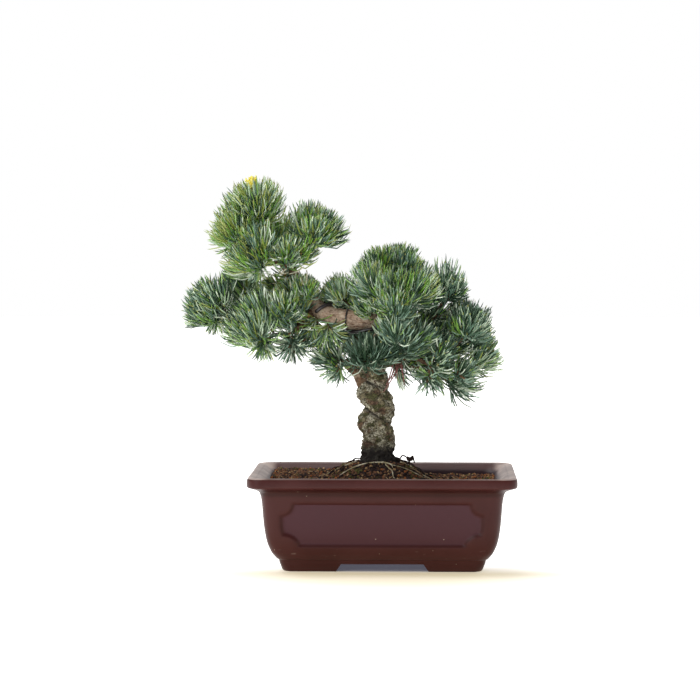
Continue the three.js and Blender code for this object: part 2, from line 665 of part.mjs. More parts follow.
// A tube of even thickness along a curve, its corners on the given radius.
function tube(curve, radius, sides, steps) {
  const section = new THREE.Shape();
  for (let i = 0; i < sides; i++) {
    const turn = (2 * Math.PI * i) / sides;
    const corner = [radius * Math.cos(turn), radius * Math.sin(turn)];
    if (i === 0) section.moveTo(...corner);
    else section.lineTo(...corner);
  }
  section.closePath();
  return new THREE.ExtrudeGeometry(section, { steps, extrudePath: curve });
}

// A wire's line round a stretch of the trunk, a little clear of its bark. An ease above 1 starts its turn slowly.
function wireCurve({ from, to, start, sweep, ease, points }, clear) {
  const line = [];
  for (let k = 0; k <= points; k++) {
    const station = THREE.MathUtils.lerp(from, to, k / points);
    const tangent = trunkCurve.getTangent(station / (TRUNK.length - 1));
    const across = new THREE.Vector3(0, 0, 1).addScaledVector(tangent, -tangent.z).normalize();
    const over = tangent.clone().cross(across);
    const turn = rad(start + sweep * (k / points) ** ease);
    const reach = trunkRadius(station) + clear;
    const place = trunkPoint(station).addScaledVector(across, reach * Math.cos(turn));
    line.push(place.addScaledVector(over, reach * Math.sin(turn)));
  }
  return new THREE.CatmullRomCurve3(line);
}

function makeWires() {
  const leader = wireCurve(LEADER_WIRE, WIRE.gap + WIRE.radius);
  const tie = wireCurve(TIE_WIRE, WIRE.gap + TIE_WIRE.radius);
  return [
    meshOf("leader_wire", solid(tube(leader, WIRE.radius, WIRE.sides, LEADER_WIRE.steps)), finish.wire),
    meshOf("tie_wire", solid(tube(tie, TIE_WIRE.radius, TIE_WIRE.sides, TIE_WIRE.steps)), finish.wire),
  ];
}

// A thin root that lies on the soil's facets, from near the trunk outwards.
function makeRoot(name, { from, to, near, far }, soil) {
  const points = [];
  const down = new THREE.Vector3(0, 0, -1);
  for (let k = 0; k <= ROOT.points; k++) {
    const turn = rad(THREE.MathUtils.lerp(from, to, k / ROOT.points));
    const away = THREE.MathUtils.lerp(near, far, k / ROOT.points);
    const x = TRUNK[0][0] + away * Math.cos(turn);
    const y = TRUNK[0][1] + away * Math.sin(turn);
    const [ground] = new THREE.Raycaster(new THREE.Vector3(x, y, SOIL.seat * 2), down).intersectObject(soil);
    points.push(ground.point.clone().setZ(ground.point.z + ROOT.radius + ROOT.lift));
  }
  const line = new THREE.CatmullRomCurve3(points);
  return meshOf(name, solid(tube(line, ROOT.radius, ROOT.sides, ROOT.steps)), finish.root);
}

// The trunk's stretches, a little fatter than its mean, are taken first.
function takeTrunk() {
  for (let level = 0; level < TRUNK_LEVELS; level++) {
    const [from, to] = [level, level + 1].map((n) => (n * (TRUNK.length - 1)) / TRUNK_LEVELS);
    const [low, high] = [from, to].map((station) => trunkRadius(station) * TRUNK_ROOM);
    take(trunkPoint(from), trunkPoint(to), low, high, "trunk");
  }
}

// A bough's last stretch counts as its mass's own, because the stem starts there.
function takeBough(name, mass) {
  const curve = boughCurve(mass);
  for (let k = 0; k < BOUGH.stretches; k++) {
    const [from, to] = [k / BOUGH.stretches, (k + 1) / BOUGH.stretches];
    const owner = k === BOUGH.stretches - 1 ? `mass_${name}` : "bough";
    take(curve.getPoint(from), curve.getPoint(to), boughRadius(mass, from), boughRadius(mass, to), owner);
  }
}

function makeTree() {
  const meshes = [meshOf("trunk", trunkSolid(0), finish.bark)];
  takeTrunk();
  const grownTrunk = trunkSolid(GAP);
  let occupied = grownTrunk;
  const grown = Object.entries(MASSES).map(([name, own], k) => {
    const mass = { ...PAD, ...own };
    return { name, mass, ...growMass(mass, SEED + SEED_STEP * k) };
  });
  for (const { name, mass } of grown.filter((g) => g.mass.leave && g.mass.foot)) {
    meshes.push(meshOf(`bough_${name}`, boughSolid(mass, 0).subtract(occupied), finish.limb));
    occupied = occupied.add(boughSolid(mass, GAP));
    takeBough(name, mass);
  }
  for (const g of grown) {
    g.limbs = g.limbs.filter(({ a, b, ra, rb }, k) => {
      const free = k === 0 || isClear(a, b, ra, rb, [`mass_${g.name}`], GAP);
      if (!free) g.tufts[k] = null;
      if (free) take(a, b, ra, rb, `mass_${g.name}`);
      return free;
    });
    g.tufts = g.tufts.filter(Boolean);
    g.tufts.forEach(({ base }) => take(base, base, TUFT.core, TUFT.core, `mass_${g.name}`));
  }
  const cones = conesSolid(grown.find((g) => g.name === "apex").tufts[0].base.clone());
  for (const { name, mass, limbs, tufts, next } of grown) {
    const sprays = tufts.map((tuft, k) => tuftSolid(tuft, mass, `${name}_${k}`, `mass_${name}`, next));
    let body = limbs.map(twigSolid).concat(sprays).reduce((whole, piece) => whole.add(piece));
    if (name === "apex") body = body.add(cones);
    if (!mass.foot) body = body.subtract(grownTrunk);
    meshes.push(meshOf(`needles_${name}`, body, finish.needles));
  }
  return meshes;
}

const plant = new THREE.Group();
plant.name = "japanese_white_pine_bonsai";
const soil = makeSoil();
plant.add(makePot(), soil, ...makeTree(), ...makeWires());
plant.add(...Object.entries(ROOTS).map(([name, root]) => makeRoot(name, root, soil)));

const box = new THREE.Box3().setFromObject(plant);
plant.position.set(-(box.min.x + box.max.x) / 2, -(box.min.y + box.max.y) / 2, -box.min.z);

export default plant;
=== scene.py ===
"""Looks of a potted Japanese white pine bonsai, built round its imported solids.

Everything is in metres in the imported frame: +Z up, the front towards -Y. The tables of the trunk and of the
masses of needles are in millimetres from the middle of the pot's footprint, and Layout turns them into the
frame.
"""
import logging
import math
from dataclasses import dataclass, field
from enum import Enum

import bmesh
import bpy
import numpy as np
from mathutils import Euler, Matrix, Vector, noise


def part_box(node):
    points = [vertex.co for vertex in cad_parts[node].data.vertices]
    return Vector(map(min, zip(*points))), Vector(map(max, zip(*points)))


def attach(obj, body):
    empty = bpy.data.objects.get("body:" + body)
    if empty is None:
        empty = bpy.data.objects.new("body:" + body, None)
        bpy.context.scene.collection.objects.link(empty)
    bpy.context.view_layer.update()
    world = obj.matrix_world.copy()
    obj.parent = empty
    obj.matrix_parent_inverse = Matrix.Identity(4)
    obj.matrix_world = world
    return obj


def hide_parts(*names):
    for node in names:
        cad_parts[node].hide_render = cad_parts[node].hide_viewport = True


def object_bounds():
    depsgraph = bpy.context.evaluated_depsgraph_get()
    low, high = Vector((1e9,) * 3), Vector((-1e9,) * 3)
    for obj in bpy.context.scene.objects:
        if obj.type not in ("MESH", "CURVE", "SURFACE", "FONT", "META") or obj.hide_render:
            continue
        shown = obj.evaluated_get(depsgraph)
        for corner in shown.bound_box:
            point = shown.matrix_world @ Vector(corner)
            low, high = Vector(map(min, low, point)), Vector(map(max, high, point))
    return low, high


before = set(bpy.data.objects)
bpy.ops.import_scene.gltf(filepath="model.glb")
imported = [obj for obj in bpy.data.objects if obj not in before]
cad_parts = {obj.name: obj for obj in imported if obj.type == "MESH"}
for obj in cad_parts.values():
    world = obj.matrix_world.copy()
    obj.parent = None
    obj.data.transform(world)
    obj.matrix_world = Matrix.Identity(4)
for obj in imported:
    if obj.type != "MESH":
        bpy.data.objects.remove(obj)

Array = np.ndarray
Random = np.random.Generator
Piece = bpy.types.Object
Material = bpy.types.Material
# A colour as screen values from 0 to 255, the two ends of a range, a place, and two arrays that go together.
Colour = tuple[int, int, int]
Span = tuple[float, float]
Place = tuple[float, float, float]
Pair = tuple[Array, Array]

log = logging.getLogger("bonsai")
CAD_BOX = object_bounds()
MM = 0.001
UP = np.array([0.0, 0.0, 1.0])
GOLDEN = math.pi * (3 - math.sqrt(5))
NOISE_SEED = 5

# Trunk stations from the flat foot to the tip: x, y, z and radius.
TRUNK = np.array([
    [-3.7, 2, 84.8, 14.2], [-4.5, 2, 100.5, 13.6], [-5.5, 2, 116.5, 13.3], [-5.5, 2, 131.5, 13],
    [-8.4, 2.5, 145.5, 12.6], [-10.6, 4, 158.5, 12.2], [-7.6, 8, 172, 11.3], [2.9, 8, 185, 10.2],
    [4.4, -1, 197, 9.1], [-7.6, -9, 202.1, 8.5], [-23.1, -10.5, 201.3, 8], [-38.1, -8, 203.1, 7.5],
    [-51.1, -2, 208, 6.9], [-61.1, 4, 217.5, 6.1], [-70.1, 6, 229.5, 5.4], [-77.1, 4, 241.5, 4.7],
    [-86.1, 2, 253.5, 3.9], [-94.1, 0, 265.5, 3.1], [-98.6, 0, 277, 2.2],
])


@dataclass(frozen=True)
class Mass:
    """One mass of needles: where it stands, where it heads and how its twigs branch.

    Lengths are in millimetres and angles in degrees. A mass with no leaving station stands on the trunk's
    tip, and one with no foot grows straight from the trunk. full is the share of its bundles that grew,
    reach the share of the source's needle length that they fill, and lead that share again for its
    middle tuft.
    """

    name: str
    leave: float | None
    foot: Place | None
    heading: tuple[float, float]
    stem: float
    twigs: int
    roll: float
    twig: float
    open: float
    lift: float
    needle: float
    spread: float
    full: float
    reach: float
    lead: float


MASSES = [Mass(*row) for row in (
    ("apex", None, (-98.6, 0, 277.2), (175, 72), 8, 3, 100, 9, 50, 0.4, 34, 76, 1, 1.02, 1),
    ("crown_left", 16.4, (-104, -4, 263), (178, 38), 12, 2, -40, 13, 68, 0.3, 30, 76, 1, 1.1, 1),
    ("crown_front", 15.3, (-86, -13, 248), (195, -5), 14, 2, 66, 16, 58, 0.4, 30, 76, 1, 1.1, 1),
    ("crown_right", 14.6, (-70, -2, 260), (-15, 30), 15, 2, 61, 13, 58, 0.3, 33, 76, 1, 0.9, 1),
    ("crown_low", 14.1, (-80, -9, 251), (-70, 12), 8, 1, 0, 11, 58, 0.25, 26, 76, 0.8, 0.9, 1),
    ("crown_back", 15, (-84, 22, 256), (88, 28), 12, 2, 20, 15, 58, 0.4, 30, 76, 1, 1, 1),
    ("left_far", 12.7, (-121, -2, 206), (183, 0), 16, 3, 55, 13, 58, 0.3, 31, 76, 1, 1, 1),
    ("left_front", 12.45, (-81, -20, 190), (190, -4), 17, 3, 75, 13, 58, 0.3, 31, 76, 0.9, 1.1, 1),
    ("left_low", 12.2, (-70, -9, 187), (212, -32), 8, 2, -115, 9, 75, 0, 26, 76, 0.5, 0.64, 1.15),
    ("left_mid", 13, (-76, -13, 197), (165, 72), 6, 2, 0, 13, 58, 0.4, 28, 76, 1, 0.95, 1),
    ("left_inner", 12.9, None, (-115, 10), 15, 2, 20, 13, 58, 0.6, 27, 76, 1, 0.56, 1.5),
    ("left_rear", 12.3, (-55, 17, 205), (98, 8), 9, 2, 20, 13, 58, 0.4, 27, 76, 1, 0.8, 1),
    ("left_back", 13.2, (-106, 22, 212), (150, 20), 13, 2, 60, 14, 58, 0.5, 30, 76, 1, 1, 1),
    ("top_left", 9.9, (-20, 8, 210), (172, 15), 14, 2, 10, 13, 58, 0.4, 27, 76, 0.7, 0.8, 1),
    ("top_front", 8.7, (7, -16, 208), (-95, 35), 11, 3, 15, 18, 58, 0.5, 33, 86, 1, 1, 1),
    ("top_main", 8, (8, 4, 221), (80, 82), 14, 4, 0, 16, 64, 0.5, 33, 76, 1, 0.83, 1.15),
    ("top_back", 7.7, (10, 30, 212), (82, 35), 13, 2, 20, 16, 58, 0.4, 31, 76, 1, 1, 1),
    ("right_upper", 7.5, (46, 2, 210), (15, 70), 9, 2, 60, 11, 58, 0.4, 30, 76, 0.8, 0.68, 1.25),
    ("right_mid", 7.1, (61, -2, 182), (-25, 45), 11, 2, 60, 12, 58, 0.4, 28, 76, 1, 1.04, 1.08),
    ("right_far", 6.7, (65, 2, 163), (-5, 8), 10, 1, 40, 13, 58, 0.15, 28, 76, 0.65, 0.92, 1),
    ("right_low", 5.9, (49, -12, 155), (-14, -35), 10, 1, 110, 13, 58, 0, 26, 66, 0.5, 0.8, 1),
    ("right_front", 6.3, (34, -18, 167), (-30, -25), 8, 2, 90, 13, 58, 0, 24, 88, 0.6, 0.88, 1.1),
    ("right_back", 7.2, (40, 36, 180), (48, 8), 13, 2, 20, 15, 58, 0.4, 30, 76, 1, 1, 1),
    ("mid_front", 7, (14, -24, 177), (-65, 22), 8, 2, 20, 13, 58, 0.4, 27, 86, 1, 1, 1),
    ("low_front", 5.7, (-13, -20, 166), (-102, 15), 8, 1, 10, 13, 58, 0.4, 27, 78, 1, 1, 1),
    ("low_left", 5.2, (-29, -8, 168), (195, 0), 8, 1, -30, 13, 58, 0.05, 26, 86, 0.6, 0.75, 1.17),
    ("low_back", 6.2, (-14, 34, 178), (105, 14), 13, 2, 20, 15, 58, 0.4, 28, 76, 1, 1, 1),
)]


def unit(v: Array) -> Array:
    """Each row of v, or v itself, scaled to length one."""
    return v / np.maximum(np.linalg.norm(v, axis=-1, keepdims=True), 1e-12)


def smoothstep(x: Array, low: float, high: float) -> Array:
    """0 below low, 1 above high, and an even S between them."""
    t = np.clip((np.asarray(x, float) - low) / (high - low), 0, 1)
    return t * t * (3 - 2 * t)


def turned(v: Array, axis: Array, angle: float) -> Array:
    """v turned about a unit axis by an angle in radians."""
    along = axis * np.dot(axis, v) * (1 - math.cos(angle))
    return v * math.cos(angle) + np.cross(axis, v) * math.sin(angle) + along


def heading(azimuth: float, elevation: float) -> Array:
    """Unit vector for an azimuth from +X and an elevation, in degrees."""
    a, e = math.radians(azimuth), math.radians(elevation)
    return np.array([math.cos(e) * math.cos(a), math.cos(e) * math.sin(a), math.sin(e)])


def linear(red: int, green: int, blue: int) -> tuple[float, float, float, float]:
    """A colour given as screen values from 0 to 255, as the light values that a shader takes."""
    shares = [c / 255 for c in (red, green, blue)]
    return (*[s / 12.92 if s <= 0.04045 else ((s + 0.055) / 1.055) ** 2.4 for s in shares], 1.0)


class Dice:
    """The repeatable run of numbers from 0 to 1 that the source's growth rule draws."""

    def __init__(self, seed: int) -> None:
        """Starts a run at a seed."""
        self.state = seed & 0xFFFFFFFF

    def __call__(self) -> float:
        """Draws a number.

        Returns:
            The next one of the run.
        """
        self.state = (self.state + 0x6D2B79F5) & 0xFFFFFFFF
        t = self.state
        t = ((t ^ (t >> 15)) * (t | 1)) & 0xFFFFFFFF
        t ^= (t + (((t ^ (t >> 7)) * (t | 61)) & 0xFFFFFFFF)) & 0xFFFFFFFF
        return ((t ^ (t >> 14)) & 0xFFFFFFFF) / 4294967296


class Layout:
    """Turns millimetres from the pot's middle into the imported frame."""

    def __init__(self) -> None:
        """Finds the pot's middle on the table."""
        low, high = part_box("pot")
        self.shift = np.array([(low.x + high.x) / 2, (low.y + high.y) / 2, low.z])

    def place(self, points: Array) -> Array:
        """Points in millimetres as points in the frame."""
        return np.asarray(points, float) * MM + self.shift


LAYOUT = Layout()


class Shade:
    """A value on its way through a material's nodes, so that shader maths reads as Python."""

    def __init__(self, graph: "Graph", socket: bpy.types.NodeSocket) -> None:
        """Wraps a node's output socket."""
        self.graph = graph
        self.socket = socket

    def _with(self, operation: str, first: object, second: object) -> "Shade":
        """A Math node on two values."""
        return self.graph.node("Math", {"operation": operation}, {0: first, 1: second})

    def __add__(self, other: object) -> "Shade":
        """self + other."""
        return self._with("ADD", self, other)

    __radd__ = __add__

    def __sub__(self, other: object) -> "Shade":
        """self - other."""
        return self._with("SUBTRACT", self, other)

    def __rsub__(self, other: object) -> "Shade":
        """other - self."""
        return self._with("SUBTRACT", other, self)

    def __mul__(self, other: object) -> "Shade":
        """self * other."""
        return self._with("MULTIPLY", self, other)

    __rmul__ = __mul__

    def ramp(self, low: float, high: float) -> "Shade":
        """0 below low, 1 above high, smooth between them."""
        settings = {"interpolation_type": "SMOOTHSTEP"}
        return self.graph.node("MapRange", settings, {"Value": self, "From Min": low, "From Max": high})

    def band(self, low: Span, high: Span) -> "Shade":
        """1 between two soft edges and 0 beyond them."""
        return self.ramp(*low) * (1 - self.ramp(*high))


class Graph:
    """A material and its nodes."""

    def __init__(self, name: str, roughness: float = 0.5) -> None:
        """Makes the material with a Principled shader.

        Args:
            name: The material's name.
            roughness: The shader's roughness where nothing is linked to it.
        """
        self.material = bpy.data.materials.new(name)
        self.material.use_nodes = True
        self.tree = self.material.node_tree
        self.shader = next(n for n in self.tree.nodes if n.type == "BSDF_PRINCIPLED")
        self.shader.inputs["Roughness"].default_value = roughness

    def set(self, inputs: dict, node: bpy.types.Node | None = None) -> None:
        """Puts values or links on sockets.

        Args:
            inputs: Socket name or number to a Shade, a number or a tuple.
            node: The node, or the shader if none is given.
        """
        node = node or self.shader
        for key, value in inputs.items():
            if isinstance(value, Shade):
                self.tree.links.new(value.socket, node.inputs[key])
            else:
                node.inputs[key].default_value = value

    def node(
        self, kind: str, settings: dict | None = None, inputs: dict | None = None, out: int | str = 0
    ) -> Shade:
        """Adds a node.

        Args:
            kind: The node's type, without its ShaderNode.
            settings: Its properties, set first.
            inputs: Its sockets' values or links.
            out: The output that is wanted.

        Returns:
            That output.
        """
        made = self.tree.nodes.new(f"ShaderNode{kind}")
        for key, value in (settings or {}).items():
            setattr(made, key, value)
        self.set(inputs or {}, made)
        return Shade(self, made.outputs[out])

    def places(self) -> Shade:
        """The surface's place in the object's own coordinates."""
        return self.node("TexCoord", out="Object")

    def along(self, axis: str) -> Shade:
        """The surface's X, Y or Z, in metres."""
        return self.node("SeparateXYZ", inputs={0: self.places()}, out=axis)

    def aside(self, axis: str) -> Shade:
        """Distance from the pot's middle along X or Y, in metres."""
        middle = float(LAYOUT.shift["XY".index(axis)])
        return self.node("Math", {"operation": "ABSOLUTE"}, {0: self.along(axis) - middle})

    def attribute(self, name: str) -> Shade:
        """A value that the mesh holds at each of its points."""
        return self.node("Attribute", {"attribute_name": name}, out="Fac")

    def noise(self, size: float, detail: float = 4, stretch: Place = (1, 1, 1)) -> Shade:
        """Cloudy noise from 0 to 1.

        Args:
            size: The size of its features in millimetres.
            detail: The number of finer layers.
            stretch: How much finer it is along each axis.

        Returns:
            The noise.
        """
        where = self.places()
        if stretch != (1, 1, 1):
            where = self.node("Mapping", inputs={"Vector": where, "Scale": stretch})
        return self.node("TexNoise", inputs={"Vector": where, "Scale": 1 / (size * MM), "Detail": detail})

    def mix(self, share: object, first: object, second: object) -> Shade:
        """A colour part of the way from the first to the second, each of them a Shade or screen values."""
        first, second = (linear(*c) if isinstance(c, tuple) else c for c in (first, second))
        return self.node("Mix", {"data_type": "RGBA"}, {0: share, 6: first, 7: second}, out=2)

    def layers(self, colour: object, *over: tuple[object, Colour]) -> Shade:
        """A colour with others laid over it in turn.

        Args:
            colour: The lowest colour.
            over: For each next one, how much of it shows, and the colour.

        Returns:
            What is seen.
        """
        for share, layer in over:
            colour = self.mix(share, colour, layer)
        return colour

    def bump(self, relief: Shade, depth: float) -> None:
        """Feeds a relief, with its depth in millimetres, to the shader's normal."""
        self.set({"Normal": self.node("Bump", inputs={"Height": relief, "Distance": depth * MM})})


@dataclass(frozen=True)
class PlainFinish:
    """An even colour for pieces joined from thousands of small shapes."""

    name: str
    colour: Colour
    roughness: float = 0.5
    specular: float = 0.5

    def make(self) -> Material:
        """Makes the material.

        Returns:
            The material.
        """
        graph = Graph(self.name, self.roughness)
        graph.set({"Base Color": linear(*self.colour), "Specular IOR Level": self.specular})
        return graph.material


@dataclass(frozen=True)
class ClayFinish:
    """Satin red-brown clay, dusty low down, with tiny pale specks and with light and shade painted into it: a
    painted bluish reflection in its panels, painted shade on the panels' sunk edges, under the rim and on the
    inner wall, a painted sheen on the rim's top and a painted glare on its two ends.

    Heights are in metres above the table. The mesh's panel attribute is 0 on the frame and 1 in a panel, and
    its hollow attribute is 1 inside the rim.
    """

    name: str = "fired_clay"
    dark: Colour = (61, 24, 22)
    light: Colour = (67, 30, 28)
    # Painted reflection: the panels' bluish tint.
    panel: Colour = (71, 39, 47)
    # Painted shade on the panels' sunk edges.
    bevel: Colour = (56, 19, 16)
    # Real dust on the smears low down; on the rim's top the same colour is a painted sheen.
    dust_and_sheen: Colour = (140, 120, 112)
    # Painted shade on the inner wall below the lip.
    inner_wall_shade: Colour = (44, 26, 34)
    # Painted shadow in the groove under the rim.
    neck_shadow: Colour = (40, 14, 12)
    # Painted glare on the rim's two ends.
    end_glare: Colour = (178, 158, 150)
    speck: Colour = (178, 160, 140)
    specks_per_metre: float = 150
    smeared: tuple[Span, Span] = ((0.009, 0.012), (0.014, 0.024))
    necked: tuple[Span, Span] = ((0.0605, 0.0635), (0.0675, 0.0688))
    lip: Span = (0.0705, 0.0735)
    rim_top: Span = (0.0762, 0.0768)
    rim_end: Span = (0.09, 0.097)

    def make(self) -> Material:
        """Makes the material.

        Returns:
            The material.
        """
        graph = Graph(self.name)
        height, hollow, inside = graph.along("Z"), graph.attribute("hollow"), graph.attribute("panel")
        broad, grain = graph.noise(34, 3), graph.noise(1.1, 3)
        where = {"Vector": graph.places(), "Scale": self.specks_per_metre}
        cells = graph.node("TexVoronoi", {}, where, "Distance")
        specks = (1 - cells.ramp(0.035, 0.08)) * graph.noise(16, 2).ramp(0.56, 0.62)
        smears = height.band(*self.smeared) * graph.noise(7, 3, (0.6, 1, 1.4)).ramp(0.66, 0.78)
        # Patchiness of the painted sheen and glare on the rim.
        worn = graph.noise(14, 4, (0.5, 1, 1)).ramp(0.4, 0.7)
        rim, lip = height.ramp(*self.rim_top), height.ramp(*self.lip)
        ends = graph.aside("X").ramp(*self.rim_end)
        colour = graph.layers(
            self.dark,
            (broad.ramp(0.35, 0.65), self.light),
            # The next six layers paint light and shade: reflection in the panels, shade on their edges, on
            # the inner wall and under the rim, sheen on the rim's top and glare on its ends.
            (inside * 0.85, self.panel),
            (inside * (1 - inside) * 3.2, self.bevel),
            (hollow * (1 - lip) * 0.9, self.inner_wall_shade),
            (height.band(*self.necked) * (1 - hollow) * 0.6, self.neck_shadow),
            (rim * (0.34 + 0.3 * worn), self.dust_and_sheen),
            (ends * lip * (rim + hollow).ramp(0.1, 0.9) * (0.45 + 0.4 * worn), self.end_glare),
            (smears * 0.3, self.dust_and_sheen),
            (specks * 0.8, self.speck),
        )
        rough = 0.3 + 0.14 * broad + 0.3 * smears + 0.06 * grain
        graph.set({"Base Color": colour, "Roughness": rough, "Specular IOR Level": 0.2})
        graph.bump(grain * 0.5 + broad * 0.5 + specks * 0.3, 0.1)
        return graph.material


@dataclass(frozen=True)
class BarkFinish:
    """Bark: mottled plates with lichen, painted shade in cracks, near-black at the soil, tan on young wood.

    The spans foot and turn are in millimetres above the table: where the damp foot ends, and where old bark
    turns into young. The mesh's own crack attribute tells how deep a place lies in a crack or in the trunk's
    groove shadow, and so how much painted shade it takes.
    """

    name: str
    plates: Colour = (136, 127, 99)
    moss: Colour = (86, 86, 52)
    brown: Colour = (112, 82, 64)
    lichen: Colour = (208, 202, 178)
    fleck: Colour = (40, 33, 26)
    young: Colour = (178, 156, 136)
    worn: Colour = (140, 108, 86)
    knot: Colour = (98, 76, 58)
    bare: Colour = (206, 190, 166)
    # Painted shade in the bark's cracks and in the trunk's groove.
    crack: Colour = (24, 19, 17)
    damp: Colour = (26, 21, 22)
    foot: Span = (93, 102)
    foot_rag: float = 9
    turn: Span = (176, 190)

    def make(self) -> Material:
        """Makes the material.

        Returns:
            The material.
        """
        graph = Graph(self.name)
        height, rag = graph.along("Z"), graph.noise(3.5, 5)
        old = graph.layers(
            self.plates,
            (graph.noise(5, 6).ramp(0.42, 0.58), self.moss),
            (graph.noise(7, 6, (1, 1, 1.3)).ramp(0.5, 0.62) * 0.8, self.brown),
            (graph.noise(8, 4).ramp(0.46, 0.58) * graph.noise(1.5, 4).ramp(0.38, 0.54), self.lichen),
            (graph.noise(1.1, 4).ramp(0.5, 0.6) * 0.75, self.fleck),
        )
        new = graph.layers(
            self.young,
            (graph.noise(2.6, 4, (0.35, 1, 1.6)).ramp(0.42, 0.72), self.worn),
            (graph.noise(1.6, 5, (0.6, 1, 1)).ramp(0.48, 0.64) * 0.7, self.knot),
            (graph.noise(9, 3).ramp(0.55, 0.7) * 0.6, self.bare),
        )
        ragged = height + (rag - 0.5) * (self.foot_rag * MM)
        colour = graph.layers(
            graph.mix(height.ramp(*(h * MM for h in self.turn)), old, new),
            # Painted shade where the crack attribute is high: deep in cracks and in the groove's shadow.
            (graph.attribute("crack") * 0.88, self.crack),
            ((1 - ragged.ramp(*(h * MM for h in self.foot))) * 0.94, self.damp),
        )
        graph.set({"Base Color": colour, "Roughness": 0.78 + 0.2 * rag, "Specular IOR Level": 0.3})
        graph.bump(graph.noise(0.7, 4) * 0.6 + graph.noise(2.2, 4) * 0.8, 0.5)
        return graph.material


@dataclass(frozen=True)
class SoilFinish:
    """Crumbly baked-clay soil, seen between its granules."""

    name: str = "soil_between"
    dark: Colour = (26, 20, 17)
    crumb: Colour = (84, 58, 42)
    moss: Colour = (52, 54, 30)

    def make(self) -> Material:
        """Makes the material.

        Returns:
            The material.
        """
        graph = Graph(self.name, 0.95)
        fine = graph.noise(1.4, 5)
        mossy = graph.noise(18, 3).ramp(0.55, 0.7) * 0.6
        colour = graph.layers(self.dark, (fine.ramp(0.35, 0.65), self.crumb), (mossy, self.moss))
        graph.set({"Base Color": colour, "Specular IOR Level": 0.2})
        graph.bump(fine, 1.0)
        return graph.material


@dataclass(frozen=True)
class WireFinish:
    """Dark anodised wire with a soft shine and fine drawing marks."""

    name: str = "dark_wire"
    dark: Colour = (26, 20, 22)
    light: Colour = (54, 44, 46)

    def make(self) -> Material:
        """Makes the material.

        Returns:
            The material.
        """
        graph = Graph(self.name)
        marks = graph.noise(1.5, 3)
        colour = graph.mix(marks.ramp(0.4, 0.7), self.dark, self.light)
        graph.set({"Base Color": colour, "Roughness": 0.24 + 0.2 * marks, "Specular IOR Level": 0.6})
        graph.bump(marks, 0.05)
        return graph.material


@dataclass(frozen=True)
class RootFinish:
    """Pale dry roots with a greenish cast in places."""

    name: str = "dry_root"
    pale: Colour = (208, 198, 172)
    green: Colour = (158, 146, 112)
    brown: Colour = (84, 66, 50)

    def make(self) -> Material:
        """Makes the material.

        Returns:
            The material.
        """
        graph = Graph(self.name, 0.85)
        cast, scars = graph.noise(6, 4).ramp(0.4, 0.6), graph.noise(2, 4).ramp(0.6, 0.7)
        graph.set({"Base Color": graph.layers(self.pale, (cast, self.green), (scars, self.brown))})
        graph.bump(graph.noise(0.8, 3), 0.3)
        return graph.material


@dataclass(frozen=True)
class FloorFinish:
    """A white matt table top that glows white round the pot, as if lit from below, with a painted warm
    reflection in front of the pot and a painted shadow only under it.

    Lengths are in metres. pot is half the size of what stands on the table, and the fades are how far in the
    painted shadow dims.
    """

    name: str = "white_table"
    table: Colour = (236, 234, 230)
    # Painted shadow: the dim blue-grey glow under the pot.
    shadow_under_pot: Colour = (80, 81, 92)
    beside: Colour = (254, 254, 254)
    # Painted reflection: a warm glow on the table in front of the pot.
    front: Colour = (158, 142, 96)
    far: Colour = (255, 255, 255)
    pot: Span = (0.0775, 0.056)
    pot_fades: Span = (0.004, 0.01)
    front_from: Span = (-0.07, 0)
    front_until: Span = (0.1, 0.3)
    far_from: Span = (0.15, 0.6)

    def make(self) -> Material:
        """Makes the material.

        Returns:
            The material.
        """
        graph = Graph(self.name, 0.8)
        across, along = (
            1 - graph.aside(axis).ramp(half - fade, half)
            for axis, half, fade in zip("XY", self.pot, self.pot_fades)
        )
        middle = {0: graph.places(), 1: (*LAYOUT.shift[:2], 0)}
        away = graph.node("VectorMath", {"operation": "DISTANCE"}, middle, "Value")
        # Where the warm reflection is painted, in front of the pot.
        warm = (1 - graph.along("Y").ramp(*self.front_from)) * (1 - away.ramp(*self.front_until))
        light = graph.layers(
            self.beside,
            (warm, self.front),
            (away.ramp(*self.far_from), self.far),
            # The painted shadow under the pot.
            (across * along, self.shadow_under_pot),
        )
        graph.set({"Base Color": linear(*self.table), "Specular IOR Level": 0.2})
        graph.set({"Emission Color": light, "Emission Strength": 1.0})
        return graph.material


